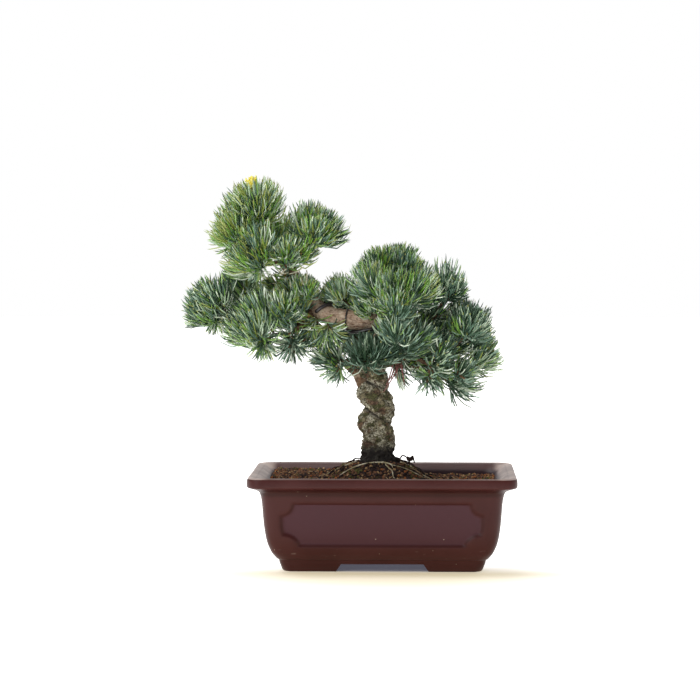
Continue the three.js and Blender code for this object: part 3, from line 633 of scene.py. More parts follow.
class Skin:
    """Places and triangles gathered from many shapes, to be joined as one mesh."""

    def __init__(self) -> None:
        """Starts with nothing."""
        self.places: list[Array] = []
        self.faces: list[Array] = []
        self.marks: list[Array] = []
        self.looks: list[Array] = []
        self.count = 0

    def add(self, places: Array, faces: Array, marks: object = 0, looks: object = 0) -> None:
        """Adds one shape.

        Args:
            places: Its vertices, in the frame.
            faces: Its triangles, counted from 0.
            marks: Each vertex's painted shade, from its depth in a crack or a groove's shadow, or one for
                all.
            looks: The number of each triangle's finish, or one number for all.
        """
        self.places.append(places)
        self.faces.append(faces + self.count)
        self.marks.append(np.broadcast_to(np.asarray(marks, float), len(places)))
        self.looks.append(np.broadcast_to(np.asarray(looks), len(faces)))
        self.count += len(places)

    def add_tube(self, points: Array, radii: Array, sides: int) -> None:
        """Adds a round tapering tube through points in millimetres, with a radius at each."""
        places, faces = tube(points, radii, sides)
        self.add(LAYOUT.place(places), faces)

    def to_object(self, name: str, finishes: list[Material], smooth: bool) -> Piece:
        """Makes the mesh and its object.

        Args:
            name: The object's name.
            finishes: Its materials, by their numbers.
            smooth: Whether its shading runs smoothly over its edges.

        Returns:
            The object, at the origin.
        """
        places = np.concatenate(self.places)
        faces = np.concatenate(self.faces).astype(np.int32)
        mesh = bpy.data.meshes.new(name)
        mesh.vertices.add(len(places))
        mesh.vertices.foreach_set("co", places.astype(np.float32).ravel())
        mesh.loops.add(faces.size)
        mesh.loops.foreach_set("vertex_index", faces.ravel())
        mesh.polygons.add(len(faces))
        mesh.polygons.foreach_set("loop_start", np.arange(0, faces.size, 3, dtype=np.int32))
        mesh.polygons.foreach_set("use_smooth", np.full(len(faces), smooth))
        for finish in finishes:
            mesh.materials.append(finish)
        mesh.polygons.foreach_set("material_index", np.concatenate(self.looks).astype(np.int32))
        mesh.update(calc_edges=True)
        # The crack attribute sets the painted shade in the bark's cracks and the trunk's groove.
        if any(m.any() for m in self.marks):
            layer = mesh.attributes.new("crack", "FLOAT", "POINT")
            layer.data.foreach_set("value", np.concatenate(self.marks).astype(np.float32))
        made = bpy.data.objects.new(name, mesh)
        bpy.context.scene.collection.objects.link(made)
        return made


def carried_axes(tangents: Array, first: Array) -> Pair:
    """Cross-section axes along a line that turn as little as they can.

    Args:
        tangents: The line's unit direction at each level.
        first: The first across axis before it is squared to the line.

    Returns:
        The across axes and the axes over them.
    """
    across = np.empty_like(tangents)
    last = first
    for level, tangent in enumerate(tangents):
        last = unit(last - tangent * np.dot(last, tangent))
        across[level] = last
    return across, np.cross(tangents, across)


def sweep(middles: Array, radii: Array, across: Array, over: Array) -> Pair:
    """A closed skin round a line.

    Args:
        middles: The line's points.
        radii: One row of radii for each point, going round it.
        across: The first cross-section axis at each point.
        over: The second.

    Returns:
        The vertices, with the two poles last, and the triangles.
    """
    levels, sides = radii.shape
    angles = np.arange(sides) * 2 * math.pi / sides
    out = np.cos(angles)[None, :, None] * across[:, None] + np.sin(angles)[None, :, None] * over[:, None]
    ring = middles[:, None] + radii[:, :, None] * out
    places = np.concatenate([ring.reshape(-1, 3), middles[:1], middles[-1:]])
    i = np.arange(sides)
    j = (i + 1) % sides
    below = np.arange(levels - 1)[:, None] * sides
    a, b = (below + i).ravel(), (below + j).ravel()
    side = np.concatenate([np.stack([a, b, b + sides], 1), np.stack([a, b + sides, a + sides], 1)])
    low, high = levels * sides, levels * sides + 1
    last = (levels - 1) * sides
    caps = np.concatenate([
        np.stack([j, i, np.full(sides, low)], 1), np.stack([last + i, last + j, np.full(sides, high)], 1),
    ])
    return places, np.concatenate([side, caps])


def tangents_of(points: Array) -> Array:
    """Unit directions along a row of points."""
    return unit(np.gradient(points, axis=0))


def round_axes(points: Array) -> Pair:
    """Cross-section axes along a row of points, the first of them level or, on an upright line, along +X."""
    tangents = tangents_of(points)
    return carried_axes(tangents, np.array([1.0, 0, 0]) if abs(tangents[0][2]) > 0.9 else UP)


def tube(points: Array, radii: Array, sides: int) -> Pair:
    """A round tapering tube through points, with a radius at each."""
    return sweep(points, np.repeat(np.asarray(radii, float)[:, None], sides, axis=1), *round_axes(points))


def smooth_line(points: Array, steps: int) -> Array:
    """A smooth line through given points.

    Args:
        points: The points.
        steps: The number of stretches in the finished line.

    Returns:
        Its points.
    """
    points = np.asarray(points, float)
    padded = np.concatenate([2 * points[:1] - points[1:2], points, 2 * points[-1:] - points[-2:-1]])
    result = []
    for share in np.linspace(0, len(points) - 1, steps + 1):
        i = min(int(share), len(points) - 2)
        w = share - i
        p0, p1, p2, p3 = padded[i : i + 4]
        ahead = (p2 - p0) * w + (2 * p0 - 5 * p1 + 4 * p2 - p3) * w**2 + (3 * p1 - p0 - 3 * p2 + p3) * w**3
        result.append(p1 + 0.5 * ahead)
    return np.array(result)


def cloud(x: Array, y: Array, size: float, level: float) -> Array:
    """Cloudy noise over places seen from above, with features of a size, cut through at a level."""
    places = zip(np.ravel(x), np.ravel(y))
    return np.array([noise.noise(Vector((a / size, b / size, level))) for a, b in places])


def ball(level: int) -> Pair:
    """A unit ball.

    Args:
        level: 0 for 20 faces, 1 for 80.

    Returns:
        Its vertices and triangles.
    """
    mesh = bmesh.new()
    bmesh.ops.create_icosphere(mesh, subdivisions=level + 1, radius=1)
    places = np.array([v.co for v in mesh.verts])
    faces = np.array([[v.index for v in f.verts] for f in mesh.faces])
    mesh.free()
    return places, faces


def bark_relief(places: Array, size: float) -> Pair:
    """The height of flaky bark at places, and how deep each lies in a crack.

    Args:
        places: Points in the frame.
        size: The width of a plate in millimetres.

    Returns:
        Heights from about -1 to 1, and crack depths from 0 to 1.
    """
    heights = np.empty(len(places))
    cracks = np.empty(len(places))
    for k, place in enumerate(places / (size * MM)):
        point = Vector(place)
        wander = point + 0.35 * noise.noise_vector(point * 1.3)
        near, second = noise.voronoi(wander)[0][:2]
        crack = max(0.0, 1 - (second - near) * 4.5)
        heights[k] = 0.55 * noise.noise(point * 0.45) + 0.3 * noise.noise(point * 2.1) - 0.55 * crack
        cracks[k] = crack
    return heights, cracks


def dressed(piece: Piece, slot: str, *nodes: str) -> None:
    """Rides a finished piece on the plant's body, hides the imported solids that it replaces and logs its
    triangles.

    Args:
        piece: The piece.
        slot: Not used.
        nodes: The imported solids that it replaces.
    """
    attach(piece, "root")
    if nodes:
        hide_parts(*nodes)
    piece.data.calc_loop_triangles()
    log.info("%s: %d triangles", piece.name, len(piece.data.loop_triangles))


def plain_piece(skin: Skin, name: str, slot: str, finish: PlainFinish, smooth: bool = True) -> None:
    """Makes and dresses a piece of one even colour."""
    dressed(skin.to_object(name, [finish.make()], smooth), slot)


def plain_pieces(slot: str, roughness: float, specular: float = 0.3, **made: tuple[Skin, Colour]) -> None:
    """Makes and dresses pieces of one even colour each, from a skin and a colour under each piece's name."""
    for name, (skin, colour) in made.items():
        plain_piece(skin, name, slot, PlainFinish(name, colour, roughness, specular))


def pick(*pieces: Piece) -> None:
    """Selects pieces and nothing else, the last of them as the active one."""
    if bpy.context.mode != "OBJECT":
        bpy.ops.object.mode_set(mode="OBJECT")
    bpy.ops.object.select_all(action="DESELECT")
    for piece in pieces:
        piece.select_set(True)
        bpy.context.view_layer.objects.active = piece


def apply_modifier(piece: Piece, kind: str, **settings: object) -> None:
    """Adds a modifier and applies it.

    Args:
        piece: What it changes.
        kind: Its type.
        settings: Its properties.
    """
    pick(piece)
    modifier = piece.modifiers.new(kind.lower(), kind)
    for key, value in settings.items():
        setattr(modifier, key, value)
    bpy.ops.object.modifier_apply(modifier=modifier.name)


def settle(piece: Piece) -> None:
    """Moves a piece's place, turn and scale into its mesh."""
    pick(piece)
    bpy.ops.object.transform_apply(location=True, rotation=True, scale=True)


def close_up() -> None:
    """Turns all faces of the mesh that is being edited outwards and ends the editing."""
    bpy.ops.mesh.select_all(action="SELECT")
    bpy.ops.mesh.normals_make_consistent(inside=False)
    bpy.ops.object.mode_set(mode="OBJECT")


@dataclass
class Pot:
    """The rectangular clay pot, in millimetres, its wall profiles as insets from the rim and heights."""

    width: float = 216
    depth: float = 160
    corner: float = 8.4
    corner_steps: int = 8
    cuts: tuple[int, int] = (170, 112)
    straight: float = 40
    outer: tuple = (
        (25.2, 6.4), (24.4, 9.4), (23.2, 10.2), (21.4, 12.2), (19.4, 14.8), (17.8, 17.8), (15.8, 22.8),
        (14.2, 29.5), (13, 38), (12.2, 48), (11.4, 57.5), (10.2, 63.4), (8.2, 66.2), (3, 68.4), (0.7, 69.3),
        (0, 71), (0.2, 75.6), (1.2, 76.8), (3, 77.3),
    )
    inner: tuple = ((8.6, 75.6), (15.2, 69.8), (16.4, 62), (17.6, 44), (20.5, 28), (25, 18), (31, 13))
    outer_levels: int = 104
    inner_levels: int = 22
    foot_profile: tuple = ((28.2, 0), (27, 1.6), (25.2, 6.4), (25.2, 7.4))
    foot_ring: float = 11
    foot_hollow: float = 12
    foot_half_gaps: Span = (38.5, 25)
    foot_gap_top: float = 10
    foot_slant: float = 7.68
    foot_round: float = 0.6
    panel_sizes: Span = (161, 104)
    panel_heights: Span = (21.6, 56)
    panel_walls: Span = (55, 85)
    panel_narrowing: float = 4.5
    panel_depth: float = 2.4
    panel_edge: float = 2
    notch: float = 9.5
    notch_reach: float = 9
    facing: float = 0.7
    lip_room: float = 0.5
    side_bevel: float = 0.42
    notch_bevel: float = 0.6
    unevenness: float = 0.5
    uneven_size: float = 50
    drain_radius: float = 8
    drain_spacing: float = 76
    drain_height: float = 8

    def half(self, inset: float) -> Span:
        """Half the width and depth at an inset, in metres."""
        return (self.width / 2 - inset) * MM, (self.depth / 2 - inset) * MM

    def rise(self, profile: list[Span]) -> None:
        """Extrudes the selected face up a profile, scaling it at each level.

        Args:
            profile: Insets and heights in millimetres, the first being where the face is.
        """
        for (inset, z), (next_inset, next_z) in zip(profile, profile[1:]):
            (w0, d0), (w1, d1) = self.half(inset), self.half(next_inset)
            bpy.ops.mesh.extrude_region_move(TRANSFORM_OT_translate={"value": (0, 0, (next_z - z) * MM)})
            middle = LAYOUT.place((0, 0, next_z))
            bpy.ops.transform.resize(value=(w1 / w0, d1 / d0, 1), center_override=tuple(middle))

    def start(self, name: str, inset: float, z: float) -> Piece:
        """Adds a plane with rounded corners and leaves it open for editing.

        Args:
            name: The new object's name.
            inset: Its inset from the rim in millimetres.
            z: Its height in millimetres.

        Returns:
            The object.
        """
        pick()
        middle = tuple(LAYOUT.place((0, 0, z)))
        bpy.ops.mesh.primitive_plane_add(size=2, location=middle)
        piece = bpy.context.object
        piece.name = piece.data.name = name
        settle(piece)
        bpy.ops.object.mode_set(mode="EDIT")
        bpy.ops.mesh.select_all(action="SELECT")
        bpy.ops.transform.resize(value=(*self.half(inset), 1), center_override=middle)
        bpy.ops.mesh.bevel(offset=self.corner * MM, segments=self.corner_steps, affect="VERTICES")
        bpy.ops.mesh.select_all(action="SELECT")
        return piece

    def wall_profile(self) -> list[Span]:
        """The wall's profile from the floor's underside, over the rim and down inside, evenly filled in."""
        sides = (self.outer, self.outer_levels), (self.inner, self.inner_levels)
        return [tuple(p) for points, steps in sides for p in smooth_line(np.array(points), steps)]

    def divide_sides(self, piece: Piece) -> None:
        """Cuts the straight sides into narrow columns, for the panels.

        Args:
            piece: The wall, with its two end faces.
        """
        mesh = bmesh.from_edit_mesh(piece.data)
        ends = [f for f in mesh.faces if len(f.verts) > 4]
        bmesh.ops.delete(mesh, geom=ends, context="FACES_ONLY")
        for axis, cuts in enumerate(self.cuts):
            bpy.ops.mesh.select_all(action="DESELECT")
            mesh = bmesh.from_edit_mesh(piece.data)
            for edge in mesh.edges:
                along = edge.verts[1].co - edge.verts[0].co
                edge.select = abs(along[axis]) > self.straight * MM and abs(along.z) < 1e-6
            bmesh.update_edit_mesh(piece.data)
            bpy.ops.mesh.subdivide(number_cuts=cuts)
        bpy.ops.mesh.select_all(action="DESELECT")
        mesh = bmesh.from_edit_mesh(piece.data)
        bmesh.ops.holes_fill(mesh, edges=[e for e in mesh.edges if e.is_boundary], sides=0)
        bmesh.update_edit_mesh(piece.data)
        close_up()

    def panel_share(self, across: Array, z: Array, width: float) -> Array:
        """How far places are sunk into a panel, from 0 to 1.

        Args:
            across: Distance from the side's middle in millimetres.
            z: Height in millimetres.
            width: The panel's width in millimetres.

        Returns:
            The share of the panel's depth.
        """
        low, high = self.panel_heights
        rise = np.clip((high - z) / (high - low), 0, 1)
        half_width = width / 2 - self.panel_narrowing * smoothstep(rise, 0.5, 1)
        u = half_width - np.abs(across)
        v = np.minimum(z - low, high - z)
        notch = np.hypot(np.maximum(u, -self.notch_reach), np.maximum(v, -self.notch_reach)) - self.notch
        inside = np.minimum(np.minimum(u * self.side_bevel, v), notch * self.notch_bevel)
        return smoothstep(inside, -self.panel_edge / 2, self.panel_edge / 2)

    def sink_panels(self, piece: Piece) -> None:
        """Sinks a panel with notched corners into each of the four sides, and marks panels and inner wall.

        Args:
            piece: The finished wall.
        """
        count = len(piece.data.vertices)
        places, normals = np.empty(count * 3, np.float32), np.empty(count * 3, np.float32)
        piece.data.vertices.foreach_get("co", places)
        piece.data.vertices.foreach_get("normal", normals)
        x, y, z = ((places.reshape(-1, 3) - LAYOUT.shift) / MM).T
        facing_x, facing_y, _ = normals.reshape(-1, 3).T
        sides = [
            self.panel_share(along, z, size) * (np.abs(facing) > self.facing) * (np.abs(across) > wall)
            for along, across, facing, size, wall in zip(
                (x, y), (y, x), (facing_y, facing_x), self.panel_sizes, self.panel_walls,
            )
        ]
        outside = np.sign(x) * facing_x + np.sign(y) * facing_y > 0
        share = np.maximum(*sides) * outside
        group = piece.vertex_groups.new(name="panel")
        for index in np.nonzero(share > 0.001)[0]:
            group.add([int(index)], float(share[index]), "REPLACE")
        apply_modifier(piece, "DISPLACE", strength=-self.panel_depth * MM, mid_level=0, vertex_group="panel")
        piece.vertex_groups.clear()
        half_x, half_y = (size / 2 - self.inner[0][0] + self.lip_room for size in (self.width, self.depth))
        within = (np.abs(x) < half_x) * (np.abs(y) < half_y)
        for name, values in (("panel", share), ("hollow", within * (1 - outside))):
            layer = piece.data.attributes.new(name, "FLOAT", "POINT")
            layer.data.foreach_set("value", values.astype(np.float32))

    def cut(self, piece: Piece, tool: Piece) -> None:
        """Takes a tool's shape out of a piece and removes the tool."""
        apply_modifier(piece, "BOOLEAN", operation="DIFFERENCE", object=tool, solver="MANIFOLD")
        bpy.data.objects.remove(tool)

    def block(self, size: Place, top: float) -> Piece:
        """Adds a block over the pot's middle.

        Args:
            size: Its size in millimetres.
            top: The height of its top in millimetres.

        Returns:
            The block.
        """
        pick()
        bpy.ops.mesh.primitive_cube_add(size=1, location=tuple(LAYOUT.place((0, 0, top - size[2] / 2))))
        piece = bpy.context.object
        piece.scale = [s * MM for s in size]
        settle(piece)
        return piece

    def make_feet(self) -> Piece:
        """Makes the four slanted feet from one ring.

        Returns:
            The feet as one piece.
        """
        piece = self.start("pot_feet", *self.foot_profile[0])
        self.rise(list(self.foot_profile))
        close_up()
        inset = self.foot_profile[0][0] + self.foot_ring
        self.cut(piece, self.block((self.width - 2 * inset, self.depth - 2 * inset, 20), self.foot_hollow))
        for axis, half_gap in enumerate(self.foot_half_gaps):
            size = [400, 400, 12]
            size[axis] = 2 * half_gap
            slot = self.block(size, self.foot_gap_top)
            middle = LAYOUT.shift[axis]
            for vertex in slot.data.vertices:
                if vertex.co.z > LAYOUT.shift[2]:
                    vertex.co[axis] -= math.copysign(self.foot_slant * MM, vertex.co[axis] - middle)
            self.cut(piece, slot)
        apply_modifier(piece, "BEVEL", width=self.foot_round * MM, segments=2, limit_method="ANGLE")
        return piece

    def build(self) -> None:
        """Makes and dresses the pot."""
        profile = self.wall_profile()
        piece = self.start("clay_pot", *profile[0])
        self.rise(profile)
        self.divide_sides(piece)
        self.sink_panels(piece)
        uneven = bpy.data.textures.new("casting", "CLOUDS")
        uneven.noise_scale = self.uneven_size * MM
        apply_modifier(
            piece, "DISPLACE", strength=self.unevenness * MM, mid_level=0.5, texture=uneven,
            texture_coords="LOCAL",
        )
        for side in (-1, 1):
            pick()
            at = tuple(LAYOUT.place((side * self.drain_spacing / 2, 0, self.drain_height)))
            bpy.ops.mesh.primitive_cylinder_add(radius=self.drain_radius * MM, depth=40 * MM, location=at)
            settle(bpy.context.object)
            self.cut(piece, bpy.context.object)
        pick(self.make_feet(), piece)
        bpy.ops.object.join()
        bpy.ops.object.shade_smooth_by_angle(angle=math.radians(40))
        piece.data.materials.clear()
        piece.data.materials.append(ClayFinish().make())
        dressed(piece, "glazed_clay", "pot")


class Grain(Enum):
    """The kinds of granules and crumbs on the soil, with their colours."""

    RUST = (146, 90, 52)
    TAN = (168, 136, 98)
    BROWN = (112, 80, 60)
    DARK = (56, 44, 44)
    MOSS = (86, 84, 46)


@dataclass
class Soil:
    """The mound of soil, its granules, moss and litter, in millimetres."""

    edge: float = 69.8
    seat: float = 84.5
    seat_radius: float = 18
    mound_radius: float = 55
    right_fall: float = 1.12
    heap: float = 3.6
    sunk: float = 1.2
    slope_to: float = 60
    sunk_from: float = 22
    below: float = 1.2
    humps: tuple = ((9, 3.1, 1.1), (3, 7.7, 0.5))
    half_width: float = 92.6
    half_depth: float = 64.6
    grid: tuple[int, int] = (170, 120)
    corner_pull: float = 0.035
    underside: Span = (0.96, 0.95)
    thickness: float = 12
    grain_step: float = 2.15
    grain_shift: float = 1.1
    trunk_room: float = 15
    grain_sizes: Span = (0.75, 1.3)
    dark_round: Span = (2, -10)
    dark_reach: Span = (22, 48)
    litter_reach: Span = (15, 62)
    litter_lengths: Span = (3.5, 10)
    seed: int = 41
    snag: tuple = ((12.5, -5, 85), (16, -5, 90), (21.5, -5, 86.8), (24, -5, 89.5), (25.5, -5, 84))
    snag_radius: float = 0.6
    snag_lump: Place = (3, 2.2, 2.4)

    def level(self, x: Array, y: Array) -> Array:
        """Height of the bed that the granules lie in, a little below the packed soil.

        Args:
            x: Distances to the right of the pot's middle.
            y: Distances behind it.

        Returns:
            Heights above the table.
        """
        aside = x - TRUNK[0][0]
        away = np.hypot(aside * np.where(aside > 0, self.right_fall, 1), y - TRUNK[0][1])
        rise = 1 - smoothstep(away, self.seat_radius, self.mound_radius)
        heap = self.heap * smoothstep(-x, 0, self.slope_to) * smoothstep(y, -self.slope_to, self.slope_to)
        ground = self.edge + heap - self.sunk * smoothstep(x, self.sunk_from, self.slope_to)
        return ground + (self.seat - ground) * rise - self.below

    def bumpy(self, x: Array, y: Array) -> Array:
        """The level with its small humps."""
        humps = sum(cloud(x, y, size, level) * height for size, level, height in self.humps)
        return self.level(x, y) + np.reshape(humps, np.shape(x))

    def make_bed(self) -> None:
        """Makes the soil's body from a grid that is shaped to the mound."""
        pick()
        bpy.ops.mesh.primitive_grid_add(x_subdivisions=self.grid[0], y_subdivisions=self.grid[1], size=2)
        piece = bpy.context.object
        piece.name = piece.data.name = "soil_bed"
        places = np.empty(len(piece.data.vertices) * 3)
        piece.data.vertices.foreach_get("co", places)
        u, v, _ = places.reshape(-1, 3).T
        pull = 1 - self.corner_pull * (np.abs(u * v)) ** 8
        x, y = u * pull * self.half_width, v * pull * self.half_depth
        shaped = LAYOUT.place(np.stack([x, y, self.bumpy(x, y)], 1))
        piece.data.vertices.foreach_set("co", shaped.ravel())
        piece.data.update()
        bpy.ops.object.mode_set(mode="EDIT")
        bpy.ops.mesh.select_all(action="SELECT")
        down = {"value": (0, 0, -self.thickness * MM)}
        bpy.ops.mesh.extrude_region_move(TRANSFORM_OT_translate=down)
        bpy.ops.transform.resize(value=(*self.underside, 1), center_override=tuple(LAYOUT.place((0, 0, 50))))
        close_up()
        bpy.ops.object.shade_smooth()
        piece.data.materials.append(SoilFinish().make())
        dressed(piece, "soil", "soil")

    def shares(self, x: Array, y: Array) -> Array:
        """The share of each kind of granule at each place, one row for each kind: darker by the trunk.

        Args:
            x: Distances to the right of the pot's middle.
            y: Distances behind it.

        Returns:
            The shares, each column adding up to 1.
        """
        warm, green = cloud(x, y, 22, 1.7), cloud(x, y, 15, 9.2)
        aside, behind = x - self.dark_round[0], y - self.dark_round[1]
        near_trunk = 1 - smoothstep(np.hypot(aside, behind), *self.dark_reach)
        rust = np.clip(0.11 + 0.4 * warm + 0.08 * smoothstep(x, 0, 60) - 0.1 * near_trunk, 0.02, 0.4)
        tan, moss = np.full(len(x), 0.1), 0.5 * smoothstep(green, 0.12, 0.35)
        shares = np.stack([rust, tan, 0.42 - 0.12 * near_trunk, 0.3 + 0.25 * near_trunk, moss])
        return shares / shares.sum(0)

    def scatter(self) -> None:
        """Lays the granules over the soil, each kind joined into one piece."""
        dice = np.random.default_rng(self.seed)
        xs = np.arange(-self.half_width + 1, self.half_width, self.grain_step)
        ys = np.arange(-self.half_depth + 1, self.half_depth, self.grain_step)
        x, y = (g.ravel() for g in np.meshgrid(xs, ys))
        extra = dice.integers(0, len(x), len(x) // 3)
        x, y = (np.concatenate([g, g[extra]]) for g in (x, y))
        x = x + dice.uniform(-self.grain_shift, self.grain_shift, len(x))
        y = y + dice.uniform(-self.grain_shift, self.grain_shift, len(y))
        keep = (np.abs(x) < self.half_width - 1) & (np.abs(y) < self.half_depth - 1)
        keep &= np.hypot(x - TRUNK[0][0], y - TRUNK[0][1]) > self.trunk_room
        x, y = x[keep], y[keep]
        z = self.bumpy(x, y)
        size = dice.uniform(*self.grain_sizes, len(x)) * (1 + 0.45 * dice.random(len(x)) ** 4)
        size = size * (1 - 0.1 * smoothstep(-x, -20, 60))
        bounds = np.cumsum(self.shares(x, y), axis=0)
        kinds = (dice.random(len(x))[None] > bounds).sum(0)
        shape, faces = ball(0)
        for number, kind in enumerate(Grain):
            skin = Skin()
            for k in np.nonzero(kinds == number)[0]:
                turn = np.array(Euler(dice.uniform(0, 6.28, 3)).to_matrix())
                stretch = dice.uniform(0.65, 1.25, 3)
                rough = shape * dice.uniform(0.75, 1.15, (len(shape), 1))
                grain = (rough * stretch) @ turn.T * size[k]
                skin.add(LAYOUT.place(grain + (x[k], y[k], z[k] + dice.uniform(0.1, 0.9))), faces)
            finish = PlainFinish(f"granule_{kind.name.lower()}", kind.value, 0.95, 0.15)
            plain_piece(skin, f"granules_{kind.name.lower()}", "soil", finish, smooth=False)

    def strew(self, skin: Skin, thick: float, dice: Random) -> None:
        """Lays one bit of litter on the mound.

        Args:
            skin: What it is added to.
            thick: Its radius.
            dice: Where chances are drawn from.
        """
        away, angle = dice.uniform(*self.litter_reach), dice.uniform(0, 6.28)
        x, y = TRUNK[0][0] + away * math.cos(angle) * 1.15, TRUNK[0][1] + away * math.sin(angle) * 0.9
        turn, long = dice.uniform(0, 6.28), dice.uniform(*self.litter_lengths)
        t = np.linspace(-0.5, 0.5, 6)
        px = x + t * long * math.cos(turn) + dice.uniform(-1, 1) * (t**2) * 4
        py = np.clip(y + t * long * math.sin(turn), -62, 62)
        pz = self.level(px, py) + self.below + 0.9 + dice.uniform(0, 1.6) * (0.25 - t**2) * 3
        radii = thick * np.array([0.5, 0.9, 1, 1, 0.8, 0.4]) * dice.uniform(0.7, 1.3)
        skin.add_tube(np.stack([px, py, pz], 1), radii, 5)

    def litter(self) -> None:
        """Lays straw, dead needles and rootlets on the mound, and a snag with a lump at the trunk's foot."""
        dice = np.random.default_rng(self.seed + 1)
        dark, pale = Skin(), Skin()
        for skin, count, thick in ((dark, 90, 0.5), (pale, 22, 0.32)):
            for _ in range(count):
                self.strew(skin, thick, dice)
        line = smooth_line(np.array(self.snag), 24)
        dark.add_tube(line, np.full(len(line), self.snag_radius), 6)
        shape, faces = ball(1)
        lump = shape * self.snag_lump * (1 + 0.25 * np.sin(7 * shape[:, :1] + 5 * shape[:, 2:]))
        dark.add(LAYOUT.place(lump + self.snag[2]), faces)
        colours = (46, 34, 32), (166, 140, 108)
        plain_pieces("soil", 0.9, 0.2, litter_dark=(dark, colours[0]), litter_pale=(pale, colours[1]))

    def build(self) -> None:
        """Makes the bed and what lies on it."""
        self.make_bed()
        self.scatter()
        self.litter()


@dataclass
class Trunk:
    """The twisted trunk and its line, in millimetres. Swells and grooves are shares of its radius."""

    sides: int = 96
    levels: int = 500
    pitch: float = 25.5
    ridge: float = 114.4
    left_lift: float = 1.6
    swell: float = 0.2
    groove: float = 0.2
    groove_width: float = 0.42
    crease: float = 0.14
    crease_width: float = 0.16
    shadow_width: float = 0.4
    calm: Span = (103, 114)
    on_right: float = 0.32
    fade: Span = (152, 180)
    flare_height: float = 5
    flare: float = 0.2
    lobes: int = 5
    lobe_flare: float = 0.12
    waist: float = 0.09
    waist_until: Span = (97, 108)
    old_until: Span = (176, 200)
    ragged_until: Span = (92, 101)
    plate: float = 5.6
    flake: float = 2.1
    lump: float = 8
    knob: float = 3.4
    relief_heights: tuple = ((84, 180, 280), (1, 0.9, 0.4))
    proud: float = 0.4

    def point(self, station: float) -> Array:
        """The trunk's middle, by a centripetal curve through the stations.

        Args:
            station: A station number, whole or between two.

        Returns:
            The point.
        """
        points = TRUNK[:, :3]
        n = len(points) - 1
        i = min(int(math.floor(station)), n - 1)
        w = station - i
        p1, p2 = points[i], points[i + 1]
        p0 = points[i - 1] if i > 0 else 2 * points[0] - points[1]
        p3 = points[i + 2] if i + 2 <= n else 2 * points[n] - points[n - 1]
        d0, d1, d2 = [np.linalg.norm(b - a) ** 0.5 for a, b in ((p0, p1), (p1, p2), (p2, p3))]
        t1 = ((p1 - p0) / d0 - (p2 - p0) / (d0 + d1) + (p2 - p1) / d1) * d1
        t2 = ((p2 - p1) / d1 - (p3 - p1) / (d1 + d2) + (p3 - p2) / d2) * d1
        return p1 + t1 * w + (3 * (p2 - p1) - 2 * t1 - t2) * w**2 + (2 * (p1 - p2) + t1 + t2) * w**3

    def radius(self, station: float) -> float:
        """The trunk's mean radius at a station number."""
        return float(np.interp(station, np.arange(len(TRUNK)), TRUNK[:, 3]))

    def line(self, low: float, high: float, count: int) -> Array:
        """Points of the trunk's middle between two stations."""
        return np.array([self.point(s) for s in np.linspace(low, high, count)])

    def twist(self, z: Array, angle: Array) -> Pair:
        """The trunk's cross-sections before their bark.

        Args:
            z: The height of each level, one row each.
            angle: Angles round the trunk, one column each.

        Returns:
            Radii as shares of the mean one, and how much each place lies in the groove's shadow, from 0 to 1.
        """
        fade = 1 - smoothstep(z, *self.fade)
        ridge = self.ridge + self.left_lift * (1 - np.cos(angle))
        turn = angle - math.pi - 2 * math.pi * (ridge - z) / self.pitch
        from_groove = np.arccos(np.clip(-np.cos(turn), -1, 1))
        widths = (self.groove_width, self.crease_width, self.shadow_width)
        groove, crease, shadow = (np.exp(-((from_groove / width) ** 2)) for width in widths)
        depth = 1 - (1 - self.on_right) * (1 + np.cos(angle)) / 2
        depth = depth * (0.45 + 0.55 * smoothstep(z, *self.calm))
        low = 1 - smoothstep(z - TRUNK[0][2], 0, self.flare_height)
        flare = low * low * (self.flare + self.lobe_flare * np.cos(self.lobes * angle + 1))
        wave = self.swell * np.cos(turn) - self.groove * groove - self.crease * crease
        shape = fade * depth * wave * (1 - low)
        waist = 1 - self.waist * (1 - smoothstep(z, *self.waist_until))
        shadow = np.minimum(1, 1.6 * fade * depth * shadow * (1 - low))
        return waist + shape + flare, shadow

    def bark(self, places: Array) -> Pair:
        """The bark's plates, flakes, lumps and knobs, all weaker on young wood.

        Args:
            places: The trunk's skin without its bark, the two poles last.

        Returns:
            How far each place stands out, and how deep it lies in a crack, from 0 to 1.
        """
        relief, cracks = bark_relief(LAYOUT.place(places), self.plate)
        fine, fine_cracks = bark_relief(LAYOUT.place(places), self.flake)
        lumps = np.array([noise.noise(Vector(p / self.lump)) for p in places])
        knobs = np.array([noise.noise(Vector(p / self.knob) + Vector((5, 2, 8))) for p in places])
        old = 1 - smoothstep(places[:, 2], *self.old_until)
        strong = (0.55 + 0.8 * old) * np.interp(places[:, 2], *self.relief_heights)
        rough = old * (1 + 0.9 * (1 - smoothstep(places[:, 2], *self.ragged_until)))
        rise = (relief * 0.9 + fine * 0.8) * strong + (lumps * 2 + knobs * 1.7) * rough
        rise[-2:] = 0
        marks = np.clip(np.maximum(cracks * 0.75, fine_cracks * 0.6) * (0.25 + 0.75 * old), 0, 1)
        return rise + self.proud, marks

    def build(self) -> None:
        """Makes and dresses the trunk."""
        top = len(TRUNK) - 1
        middles = self.line(0, top, self.levels)
        tangents = tangents_of(middles)
        tangents[0] = UP
        across, over = carried_axes(tangents, np.array([1.0, 0, 0]))
        angle = np.arange(self.sides)[None] * 2 * math.pi / self.sides
        mean = np.array([self.radius(s) for s in np.linspace(0, top, self.levels)])[:, None]
        shares, shadow = self.twist(middles[:, 2:3], angle)
        radii = mean * shares
        rise, marks = self.bark(sweep(middles, radii, across, over)[0])
        places, faces = sweep(middles, radii + rise[:-2].reshape(radii.shape), across, over)
